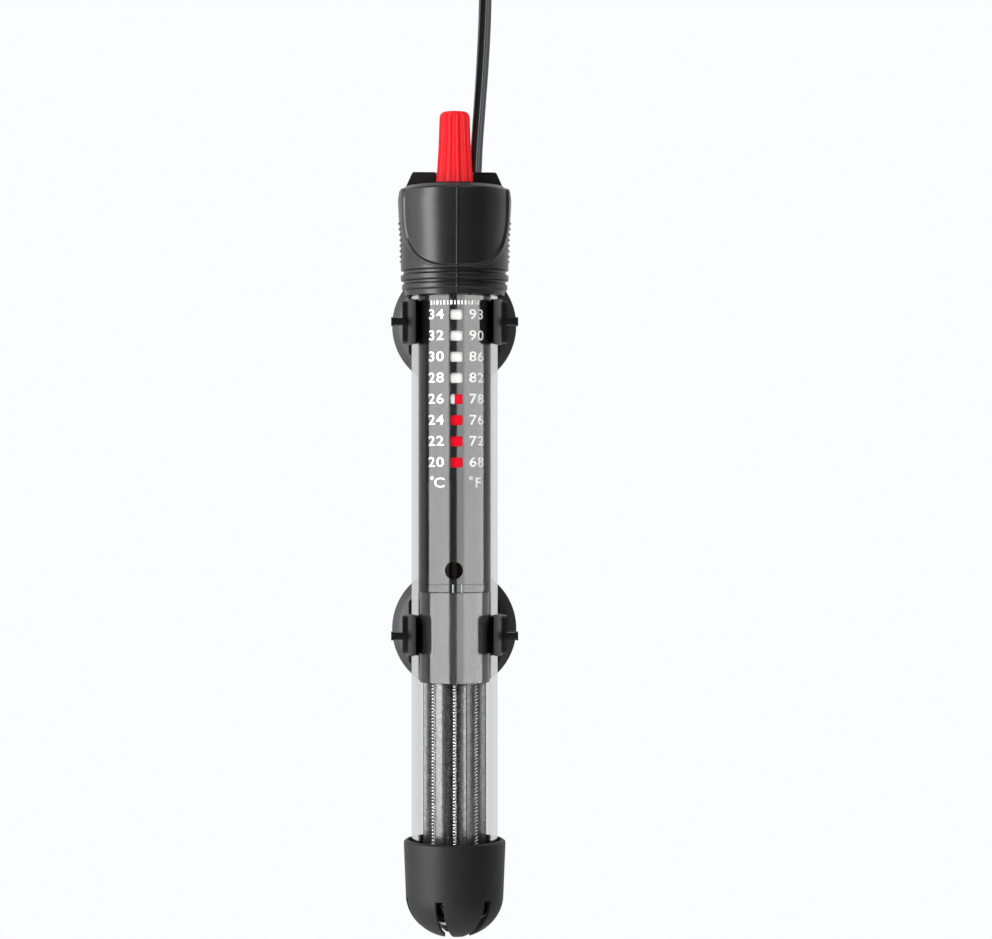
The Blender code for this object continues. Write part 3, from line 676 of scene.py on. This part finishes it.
def make_head():
    """The head cap, the boss behind the knob and the collar round the cord."""
    body = [
        (SPINDLE_WAY, HEAD_TOP), (14.0, HEAD_TOP), (16.1, HEAD_TOP - 1.4), (16.5, 80.5), (16.3, 76.0),
        (15.7, 69.0), (15.65, 60.0), (14.9, 59.7), (14.9, 58.9), (15.7, 58.6), (15.7, 57.0),
        (14.8, 56.8), (14.8, 56.1), (15.35, 55.8), (15.35, 54.4), (14.6, 54.1), (14.4, HEAD_BOTTOM),
    ]
    smooth = rounded(body, lambda k: 0.6 if k == 1 else 1.2 if k == 2 else 3.0 if k in (3, 4, 5)
                     else 0.65 if k in (9, 10, 13, 14) else 0.25, closed=False, steps=5)
    rows = []
    for start, end in zip(smooth, smooth[1:]):
        tall = 13 < start.x and start.y > PANEL_END + 0.6
        steps = max(1, math.ceil((start - end).length / 0.2)) if tall else 1
        rows += [start.lerp(end, step / steps) for step in range(steps)]
    rows += [smooth[-1], Vector((TUBE_RADIUS, HEAD_BOTTOM)), Vector((TUBE_RADIUS, TUBE_TOP)),
             Vector((SPINDLE_WAY, TUBE_TOP))]
    fine = [math.radians(-78 + 0.4 * step) for step in range(391)]
    coarse = [math.radians(80 + 2.5 * step) for step in range(81)]
    head = lathe("head_body", rows, wave=head_radius,
                 angles=[FRONT + HEAD_TURN + angle for angle in [*fine, *coarse]])
    finish_piece(head, RUBBER, "heater", ("head_cap",), sharp=50)

    profile = [(0, 84.0), (14.3, 84.0), (14.3, HEAD_TOP - 0.3), (12.3, BOSS_TOP), (0, BOSS_TOP)]
    boss = lathe("head_boss", rounded(profile, lambda k: 0.9 if k == 3 else 0))
    front = box("boss_front", (40, 20, 20), (0, -8.5, 90))
    place = Matrix.Translation(scaled((AXIS_X, AXIS_Y, 0)))
    front.data.transform(place @ Matrix.Rotation(HEAD_TURN, 4, "Z"))
    carve(
        boss,
        front,
        rod("knob_well", 5.9, (AXIS_X, AXIS_Y, 80), (AXIS_X, AXIS_Y, 95)),
        rod("gland_way", 2.95, (CORD_X, CORD_Y, 80), (CORD_X, CORD_Y, 95)),
    )
    soften(boss, 0.25, 2, 50)
    finish_piece(boss, RUBBER, "heater", ("head_cap",))
    profile = [(2.9, BOSS_TOP), (2.9, 79.8), (1.0, 79.8), (1.0, BOSS_TOP)]
    gland = lathe("cord_collar", rounded(profile, 0.3), (CORD_X, CORD_Y, 0), 40)
    finish_piece(gland, RUBBER, "heater", ("cord_gland",))


def make_knob():
    """A red knob with narrow ridges between wide flutes, and a softly domed top."""
    base, waist, shoulder = 5.5, 5.1, 4.7
    side = [(base, KNOB_BOTTOM), (waist, 89.5), (shoulder, 96.0), (4.4, KNOB_TOP - 1.6),
            (4.05, KNOB_TOP - 0.6), (3.4, KNOB_TOP - 0.15)]
    rows = [Vector((0, KNOB_TOP))]
    rows += [Vector(point) for point in reversed(side)]
    dense = [rows[0]]
    for start, end in zip(rows, rows[1:]):
        dense += [start.lerp(end, step / 6) for step in range(1, 7)]
    hollow = [(3.2, KNOB_BOTTOM), (3.2, 89.0), (2.1, 89.0), (2.1, 101.0), (0, 101.0)]

    def fluted(radius, height, angle):
        if radius < 3.35:
            return radius
        wide = abs(math.sin(KNOB_FLUTES / 2 * angle)) ** 0.55
        fade = smoothstep((KNOB_TOP - 0.2 - height) / 1.6)
        return radius - 0.6 * wide * fade

    knob = lathe("knob_cap", [*dense, *map(Vector, hollow)], steps=KNOB_FLUTES * 16, wave=fluted)
    return finish_piece(knob, RED, "control", ("knob",), sharp=50)


# ---- inside pieces
def window_height(index):
    return WINDOW_TOP_Z - index * WINDOW_PITCH


def on_sleeve(degrees, z, radius=None):
    """The point on the sleeve at an angle from the front, positive to the right."""
    radius = radius or SLEEVE_RADIUS
    return Vector((AXIS_X, AXIS_Y, z)) + polar(radius, FRONT + math.radians(degrees)).to_3d()


def make_sleeve():
    """The sleeve with its windows and the lamp's hole, the ring that closes the gap under
    it, and the heat shield."""
    wall = 0.8
    profile = [(SLEEVE_RADIUS, SLEEVE_TOP), (SLEEVE_RADIUS, SLEEVE_BOTTOM),
               (SLEEVE_RADIUS - wall, SLEEVE_BOTTOM), (SLEEVE_RADIUS - wall, SLEEVE_TOP)]
    sleeve = lathe("dial_sleeve", profile, steps=128)
    width, height = WINDOW_SIZE
    window = rounded(rectangle(width / 2, height / 2), 0.6)
    cutters = [
        prism("window", window, -4, 4, turn=(math.pi / 2, 0, HEAD_TURN),
              at=on_sleeve(math.degrees(HEAD_TURN), window_height(k)))
        for k in range(WINDOW_COUNT)
    ]
    lamp = on_sleeve(-1.4, LAMP_Z)
    cutters.append(rod("lamp_way", LAMP_HOLE_RADIUS, lamp - Vector((0, 3, 0)), lamp + Vector((0, 3, 0))))
    cutters.append(box("wire_slot", (5.6, 5, 120), (AXIS_X, AXIS_Y + 10.5, 20)))
    carve(sleeve, *cutters)
    finish_piece(sleeve, SLEEVE_PLASTIC, "heater", ("scale_sleeve",))

    top, bottom = SLEEVE_BOTTOM - 0.06, high("heat_shield_sleeve").z + 0.06
    ring = lathe("end_ring", rounded([(10.7, top), (10.7, bottom), (9.9, bottom), (9.9, top)], 0.1),
                 steps=128)
    carve(ring, box("ring_slot", (5.6, 5, 6), (AXIS_X, AXIS_Y + 10.5, (top + bottom) / 2)))
    finish_piece(ring, SLEEVE_PLASTIC, "heater", ("sleeve_end_ring",))
    pins = [rod("ring_pin", 0.25, on_sleeve(degrees, bottom, 10.8), on_sleeve(degrees, top, 10.8), 16)
            for degrees in (-2.5, 11.2)]
    pair = carve(*pins, operation="UNION")
    finish_piece(pair, STEEL, "heater")

    top, bottom = high("heat_shield_sleeve").z, low("heat_shield_sleeve").z
    radius = high("heat_shield_sleeve").x - AXIS_X
    outline = [(radius, top), (radius, bottom), (radius - 0.7, bottom), (radius - 0.7, top)]
    shield = lathe("heat_shield", rounded(outline, 0.2), steps=128)
    finish_piece(shield, SHIELD_PLASTIC, "heater", ("heat_shield_sleeve",))
    return [sleeve, ring, shield]


FIGURE_HEIGHT, FIGURE_STRETCH = 2.9, 1.28
FONT_FIGURES = 0.73  # the height of the font's figures in a size of 1
PRINT_GAP, PRINT_THICKNESS = 0.02, 0.05


def wrapped(flat, degrees, z):
    """A thin flat bmesh laid round the sleeve, centred at an angle from the front."""
    for step in range(-12, 13):
        bmesh.ops.bisect_plane(flat, geom=[*flat.verts, *flat.edges, *flat.faces],
                               plane_co=scaled((step * 0.4, 0, 0)), plane_no=(1, 0, 0))
    bmesh.ops.solidify(flat, geom=flat.faces, thickness=-PRINT_THICKNESS * MM)
    radius = SLEEVE_RADIUS + PRINT_GAP
    for vert in flat.verts:
        angle = FRONT + math.radians(degrees) + vert.co.x / (radius * MM)
        reach = radius * MM + vert.co.z
        vert.co = (AXIS_X * MM + reach * math.cos(angle), AXIS_Y * MM + reach * math.sin(angle),
                   z * MM + vert.co.y)
    made = bpy.data.meshes.new("label")
    flat.to_mesh(made)
    flat.free()
    return made


def label(text, degrees, z):
    """Printed figures, widened."""
    letters = bpy.data.curves.new("label", "FONT")
    letters.body = text
    letters.size = FIGURE_HEIGHT * MM / FONT_FIGURES
    letters.align_x = "CENTER"
    letters.align_y = "CENTER"
    letters.space_character = 1.1
    letters.offset = 0.035 * MM
    letters.resolution_u = 4
    flat = bmesh.new()
    flat.from_mesh(curve_mesh(letters))
    for vert in flat.verts:
        vert.co.x *= FIGURE_STRETCH
    return wrapped(flat, degrees, z)


def small_ring(radius, line, degrees, z):
    """The printed ring of a degree sign."""
    flat = bmesh.new()
    inner, outer = [
        [flat.verts.new(scaled(polar(r, math.tau * k / 24).to_3d())) for k in range(24)]
        for r in (radius - line, radius)
    ]
    for k in range(24):
        following = (k + 1) % 24
        flat.faces.new([inner[k], outer[k], outer[following], inner[following]])
    return wrapped(flat, degrees, z)


def tick(width, height, degrees, z):
    """A short upright mark."""
    flat = bmesh.new()
    flat.faces.new([flat.verts.new(scaled((*corner, 0))) for corner in rectangle(width / 2, height / 2)])
    return wrapped(flat, degrees, z)


def make_print():
    """White figures beside the windows, in degrees C on the left and F on the right,
    and a row of fill marks at the top."""
    celsius = ("34", "32", "30", "28", "26", "24", "22", "20")
    fahrenheit = ("93", "90", "86", "82", "78", "76", "72", "68")
    labels = []
    for index in range(WINDOW_COUNT):
        labels.append(label(celsius[index], -31, window_height(index)))
        labels.append(label(fahrenheit[index], 37, window_height(index)))
    for letter, degrees in (("C", -25), ("F", 39)):
        labels.append(label(letter, degrees, -1.6))
        labels.append(small_ring(0.55, 0.25, degrees - 13, -0.2))
    for step in range(15):
        labels.append(tick(0.35 if step % 2 else 0.6, 1.2, -39 + 5.6 * step, 50.3))
    shape = bmesh.new()
    for piece in labels:
        shape.from_mesh(piece)
    mesh = bpy.data.meshes.new("dial_print")
    shape.to_mesh(mesh)
    shape.free()
    figures = add_object("dial_print", mesh)
    return finish_piece(figures, PRINT, "heater")


def make_indicator():
    """The white drum and the stepped red band round it."""
    top, bottom = high("indicator_drum").z, low("indicator_drum").z
    drum = lathe("dial_drum", rounded([(8.9, top), (8.9, bottom), (8.1, bottom), (8.1, top - 1.4),
                                       (2.1, top - 1.4), (2.1, top)], 0.2), steps=128)
    finish_piece(drum, WHITE, "control", ("indicator_drum",))
    columns, radius, last = 10, 9.2, 46  # columns in one window's turn, and where the red ends
    lowest = window_height(WINDOW_COUNT - 0.5)

    def build(shape):
        corners = {}

        def corner(step, row):
            if (step, row) not in corners:
                angle = FRONT + math.radians(DEGREES_PER_STEP) * step / columns
                place = (*polar(radius, angle), lowest + row * WINDOW_PITCH)
                corners[step, row] = shape.verts.new(place)
            return corners[step, row]

        for row in range(WINDOW_COUNT):
            first = (row + REST_WINDOW + 1 - WINDOW_COUNT) * columns
            for step in range(first, last):
                shape.faces.new([corner(step, row), corner(step + 1, row),
                                 corner(step + 1, row + 1), corner(step, row + 1)])

    band = add_object("dial_red_band", mesh_from("dial_red_band", build), (AXIS_X, AXIS_Y, 0))
    shell = band.modifiers.new("thickness", "SOLIDIFY")
    shell.thickness = 0.25 * MM
    shell.offset = 1.0
    bake(band)
    finish_piece(band, BAND_RED, "control", ("indicator_red_band",))
    return [drum, band]


def groove_angle(index):
    """The first groove is at the rear."""
    return math.pi / 2 + math.tau * index / GROOVES


def make_core():
    """A glazed ceramic core with six flared grooves, each holding a run of coiled wire."""
    floor, lip = 1.15, math.radians(21)  # the groove's round floor, and half its mouth
    outline = []
    for index in range(GROOVES):
        angle = groove_angle(index)
        out, across = polar(1, angle), Vector((-math.sin(angle), math.cos(angle)))
        outline.append(polar(CORE_RADIUS, angle - lip))
        for step in range(11):
            turn = math.radians(-75 + 15 * step)
            outline.append(out * (COIL_CIRCLE - floor * math.cos(turn))
                           + across * floor * math.sin(turn))
        span = math.tau / GROOVES - 2 * lip
        outline += [polar(CORE_RADIUS, angle + lip + span * k / 8) for k in range(8)]
    core = prism("heating_core", outline, CORE_BOTTOM, CORE_TOP, at=(AXIS_X, AXIS_Y, 0))
    soften(core, 0.25, 2, 30)
    return finish_piece(core, CERAMIC, "heater", ("ceramic_core",))


def make_coil():
    """One helix of resistance wire up and down the six grooves."""
    spots = [Vector((AXIS_X, AXIS_Y)) + polar(COIL_CIRCLE, groove_angle(k)) for k in range(GROOVES)]
    top, bottom = CORE_TOP + 0.6, CORE_BOTTOM - 0.6
    knots = [(*spots[0], top + 2)]
    for index, spot in enumerate(spots):
        down = index % 2 == 0
        first, last = (top, bottom) if down else (bottom, top)
        knots += [(*spot, first + (last - first) * k / 6) for k in range(7)]
        if index + 1 < GROOVES:
            lift = -2.4 if down else 2.4
            knots += [(*spot.lerp(spots[index + 1], share), last + lift * math.sin(math.pi * share))
                      for share in (0.2, 0.5, 0.8)]
    knots.append((*spots[-1], top + 2))
    centre = catmull(knots, 0.3)
    pitch, radius, thick = 0.95, 0.62, 0.17
    per_turn = 10
    lengths = [0.0]
    for start, end in zip(centre, centre[1:]):
        lengths.append(lengths[-1] + (end - start).length)
    turns = lengths[-1] / pitch
    points, index = [], 0
    for step in range(int(turns * per_turn)):
        goal = step / per_turn * pitch
        while index + 2 < len(lengths) and lengths[index + 1] < goal:
            index += 1
        share = (goal - lengths[index]) / (lengths[index + 1] - lengths[index])
        spot = centre[index].lerp(centre[index + 1], share)
        tangent = (centre[index + 1] - centre[index]).normalized()
        side = tangent.cross(Vector((0.31, 0.95, 0.0))).normalized()
        other = tangent.cross(side)
        angle = math.tau * step / per_turn
        points.append(spot + (side * math.cos(angle) + other * math.sin(angle)) * radius)
    coil = bpy.data.curves.new("heating_wire", "CURVE")
    coil.dimensions = "3D"
    coil.bevel_depth = thick * MM
    coil.bevel_resolution = 1
    coil.use_fill_caps = True
    line = coil.splines.new("POLY")
    line.points.add(len(points) - 1)
    for knot, point in zip(line.points, points):
        knot.co = (*(point * MM), 1)
    wire = add_object("heating_wire", curve_mesh(coil))
    return finish_piece(wire, WIRE, "heater", ("heating_coil",), sharp=80)


# ---- guard and clips
GUARD_DOME_DEPTH = 12.5
GUARD_DOME_CENTRE = -133.6 + GUARD_DOME_DEPTH
SLOT_TOP = -121.6


def make_guard():
    """A cup round the tube's end. Slots open into a star-shaped drain hole, and the
    tongues between them have rounded ends."""
    low_radius, wall, bore = 14.2, 1.1, 13.3
    rim = high("bottom_guard").x - AXIS_X

    def dome(radius, down, smallest):
        last = math.acos(smallest / radius)
        return [(radius * math.cos(last * k / 20), GUARD_DOME_CENTRE - down * math.sin(last * k / 20))
                for k in range(21)]

    profile = [(rim - 0.8, GUARD_RIM), (rim - 0.1, GUARD_RIM - 0.5), (rim, GUARD_RIM - 1.2),
               *dome(low_radius, GUARD_DOME_DEPTH, 4.2),
               *reversed(dome(low_radius - wall, GUARD_DOME_DEPTH - wall, 4.2)),
               (bore, GUARD_RIM - 0.3), (bore + 0.3, GUARD_RIM)]
    guard = lathe("end_guard", profile, steps=144)
    hole, half = 5.0, 1.2  # the drain hole's radius, and half a slot's width
    star = []
    for index in range(6):
        angle = math.radians(-90 - 18.3 + 60 * index)
        out, across = polar(1, angle), Vector((-math.sin(angle), math.cos(angle)))
        inner = math.sqrt(hole ** 2 - half ** 2)
        star += [out * inner - across * half, out * 20 - across * half,
                 out * 20 + across * half, out * inner + across * half]
        start = angle + math.asin(half / hole)
        span = math.radians(60) - 2 * math.asin(half / hole)
        star += [polar(hole, start + span * k / 6) for k in range(1, 6)]
    star = rounded(star, lambda k: 1.5 if k % 9 in (0, 3) else 0, steps=6)
    carve(guard, prism("star", star, -140, SLOT_TOP, at=(AXIS_X, AXIS_Y, 0)))
    ribs = []
    for degrees in (-10, 90, 190):
        angle = math.radians(degrees)
        reach = TUBE_RADIUS + 0.7
        ribs.append(box("rib", (1.2, 1.4, 9.0), (AXIS_X + reach * math.cos(angle),
                        AXIS_Y + reach * math.sin(angle), GUARD_RIM - 7), turn_z=angle))
    carve(guard, *ribs, operation="UNION")
    soften(guard, 0.15, 2, 45)
    finish_piece(guard, GUARD_PLASTIC, "guard", ("bottom_guard",))


CLIP_MOUTH = 11.2  # half the opening between a clip's arms


def make_clip(side, height, shift):
    """A clip whose two arms hold the tube, with side ears, a pull tab on each, and a
    socket for the suction cup on a back plate."""
    cup = middle(f"{side}_suction_cup").z
    centre = cup + shift
    inner, outer = TUBE_RADIUS + 0.05, 13.9
    start = math.asin(CLIP_MOUTH / (outer + 0.5)) - 0.1
    arc = [FRONT + start + (math.tau - 2 * start) * k / 72 for k in range(73)]
    outline = [polar(outer, angle) for angle in arc] + [polar(inner, angle) for angle in reversed(arc)]
    w, wide, h = CLIP_MOUTH, 30, height / 2
    clip = prism(f"{side}_tube_clip", outline, centre - h, centre + h, at=(AXIS_X, AXIS_Y, 0))
    flare = [(-w, -h), (-w, h), (-wide, h), (-wide, h + 6), (wide, h + 6), (wide, h), (w, h), (w, -h),
             (wide, -h), (wide, -h - 6), (-wide, -h - 6), (-wide, -h)]
    flare = rounded(flare, lambda k: 1.3 if k in (0, 1, 6, 7) else 0, steps=6)
    carve(clip, prism("mouth", flare, 0, 40, turn=(math.pi / 2, 0, 0),
                      at=(AXIS_X, AXIS_Y - 4, centre)))
    joined = []
    for sign in (-1, 1):
        ear = rounded(rectangle(3.2, h - 0.3), 1.0, steps=5)
        joined.append(prism("ear", ear, -0.75, 0.75, turn=(math.pi / 2, 0, math.pi / 2),
                            at=(sign * 14.4, AXIS_Y + 2.2, centre)))
        joined.append(box("tab", (4.3, 4.6, 2.0), (sign * 16.3, AXIS_Y + 1, cup - 0.4)))
        joined.append(box("tab_lip", (0.7, 5.0, 2.4), (sign * 18.1, AXIS_Y + 1, cup - 0.4)))
    block = box("socket", (13, 9.2, 11.2), (0, -14.5, cup))
    soften(block, 1.2, 3)
    plate = rounded(rectangle(13.6, 9.7), 1.5)
    joined += [block, prism("back_plate", plate, -1, 1, turn=(math.pi / 2, 0, 0), at=(0, -15.2, cup))]
    carve(clip, *joined, operation="UNION")
    carve(clip, rod("tube_way", inner, (AXIS_X, AXIS_Y, cup - 15), (AXIS_X, AXIS_Y, cup + 15), 120),
          rod("neck_way", 2.5, (0, -5, cup), (0, -14, cup)),
          rod("head_way", 3.7, (0, -11.9, cup), (0, -16.3, cup)))
    soften(clip, 0.35, 3, 35)
    return finish_piece(clip, CLIP_RUBBER, f"{side}_clip", (f"{side}_clip",))


def make_cup(side):
    """A suction cup turned about the line square to the wall."""
    centre = middle(f"{side}_suction_cup").z
    rim = high(f"{side}_suction_cup").x
    profile = [
        (0, 15.9), (2.9, 15.9), (3.3, 15.0), (3.3, 12.8), (2.2, 12.1), (2.2, 9.8), (4.4, 9.0),
        (6.5, 7.2), (9.0, 6.2), (12.5, 5.0), (16.6, 3.0), (rim - 0.1, 1.2), (rim, 0.0), (16.6, 0.0),
        (15.0, 1.2), (10.0, 2.7), (5.0, 3.4), (0, 3.5),
    ]
    profile = rounded(profile, lambda k: 0 if k in (0, 17) else 0.4 if k < 6 or k in (11, 12, 13) else 4.0,
                      steps=6)
    cup = lathe(f"{side}_rubber_cup", profile, (0, 0, 0), 128)
    cup.data.transform(Matrix.Translation(scaled((0, 0, centre))) @ Matrix.Rotation(math.pi / 2, 4, "X"))
    finish_piece(cup, CUP_RUBBER, f"{side}_cup", (f"{side}_suction_cup",))


# ---- carried-over nodes
CARRIED_LOOKS = (
    (RUBBER, "spindle_seal"), (GREY, "carrier_plug"),
    (WHITE, "upper_insulator", "neutral_wire"), (CERAMIC, "lower_insulator", "lamp_resistor"),
    (BRASS, "left_coil_lead", "right_coil_lead", "contact_arm", "leaf_anchor", "spindle",
     "adjuster_nut", "moving_contact"),
    (STEEL, "thermostat_frame", "snap_magnet", "bimetal_leaf"),
    (LAMP, "pilot_lamp"), (RED, "live_wire"),
)


def dress_carried_nodes():
    """Materials for the CAD nodes that show as they are."""
    for look, *names in CARRIED_LOOKS:
        for name in names:
            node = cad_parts[name]
            node.data.materials.clear()
            node.data.materials.append(look)


# ---- light and stage
def make_panel_light(name, azimuth, half_angle, height, radiance, elevation=0.0, distance=1.5,
                     only=(), without=()):
    """A flat light that faces the heater and isn't seen itself. azimuth is from the
    camera's side, positive to the right, and half_angle is how far it spreads to each side
    of that. distance and height are in metres. It can light only some pieces, or all but
    some."""
    lamp = bpy.data.lights.new(name, "AREA")
    lamp.shape = "RECTANGLE"
    width = 2 * distance * math.tan(math.radians(half_angle))
    lamp.size, lamp.size_y = width, height
    lamp.energy = radiance * math.pi * width * height
    made = bpy.data.objects.new(name, lamp)
    side, up = math.radians(azimuth), math.radians(elevation)
    away = Vector((math.sin(side) * math.cos(up), -math.cos(side) * math.cos(up), math.sin(up)))
    target = scaled((AXIS_X, AXIS_Y, -10))
    made.location = target + away * distance
    made.rotation_euler = away.to_track_quat("Z", "Y").to_euler()
    made.visible_camera = False
    bpy.context.scene.collection.objects.link(made)
    if only or without:
        receivers = bpy.data.collections.new(f"{name}_receivers")
        for piece in [*only, *without]:
            receivers.objects.link(piece)
        made.light_linking.receiver_collection = receivers
        for link in receivers.collection_objects:
            link.light_linking.link_state = "INCLUDE" if only else "EXCLUDE"


FILL_IN_FRONT, FILL_BEHIND = 0.10, 0.85
BACKDROP = (0.975, 0.98, 0.99, 1)


def make_world():
    """White where the camera sees it. For everything else it is dim in front and bright
    behind the heater, like a pale backdrop."""
    world = bpy.data.worlds.new("studio")
    bpy.context.scene.world = world
    world.use_nodes = True
    tree = world.node_tree
    place = add_node(tree, "TexCoord")
    axes = add_node(tree, "SeparateXYZ")
    tree.links.new(place.outputs["Generated"], axes.inputs[0])
    behind = add_node(tree, "MapRange", From_Min=0.1, From_Max=0.4, To_Min=FILL_IN_FRONT,
                      To_Max=FILL_BEHIND)
    behind.interpolation_type = "SMOOTHSTEP"
    tree.links.new(axes.outputs["Y"], behind.inputs["Value"])
    fill = tree.nodes["Background"]
    fill.inputs["Color"].default_value = (1, 1, 1, 1)
    tree.links.new(behind.outputs["Result"], fill.inputs["Strength"])
    seen = add_node(tree, "Background", Color=BACKDROP)
    path = add_node(tree, "LightPath")
    mix_shaders(tree, path.outputs["Is Camera Ray"], fill, seen, "World Output")


def make_floor():
    def build(shape):
        bmesh.ops.create_circle(shape, cap_ends=True, segments=96, radius=2500)

    floor = add_object("floor", mesh_from("floor", build), (0, 0, -600))
    floor.data.materials.append(surface("floor_paper", (0.86, 0.86, 0.86), 0.9, tone=0.01, grain=2))


# ---- the scene
make_camera()
mains_cord = make_cord()
tube = make_glass()
make_head()
knob_cap = make_knob()
shiny = make_sleeve()
pale = [make_print(), *make_indicator()]
core = [make_core(), make_coil()]
make_guard()
clips = [make_clip("upper", 12.9, -0.6), make_clip("lower", 11.7, 0.0)]
for cup_side in ("upper", "lower"):
    make_cup(cup_side)
dress_carried_nodes()
make_world()
make_floor()
own_light = [tube, mains_cord, *shiny]  # no key or side light shows in these
make_panel_light("sleeve_left", -52.8, 35.2, 3.0, 9.5, only=shiny)
make_panel_light("sleeve_right", 55, 48, 3.0, 5.6, only=shiny)
make_panel_light("sleeve_far_right", 66, 36, 3.0, 3.6, distance=1.55, only=shiny)
make_panel_light("core_left", -58, 15, 2.4, 8.5, only=core)
make_panel_light("core_right", 46, 13, 2.4, 4.2, only=core)
make_panel_light("core_front", -8, 10, 2.4, 3.5, only=core[1:])
make_panel_light("cord_strip", 66, 5, 2.0, 12.0, only=[mains_cord])
make_panel_light("front_pale", 3, 22, 1.4, 4.6, 6, only=pale)
make_panel_light("knob_left", -48, 16, 1.4, 5.0, 6, only=[knob_cap])
make_panel_light("knob_front", 32, 22, 1.4, 3.0, 6, only=[knob_cap])
make_panel_light("key_left", -56, 13, 1.6, 8.5, 6, 1.4, without=[*own_light, *clips, *core, knob_cap])
make_panel_light("side_left", -88, 18, 1.6, 1.5, 6, 1.4, without=[*own_light, *clips])
make_panel_light("side_right", 88, 16, 1.6, 0.35, 4, 1.4, without=own_light)
make_panel_light("top", 10, 25, 1.2, 1.2, 62, 1.6, without=[tube, *shiny])
bpy.context.scene.view_settings.view_transform = "Standard"
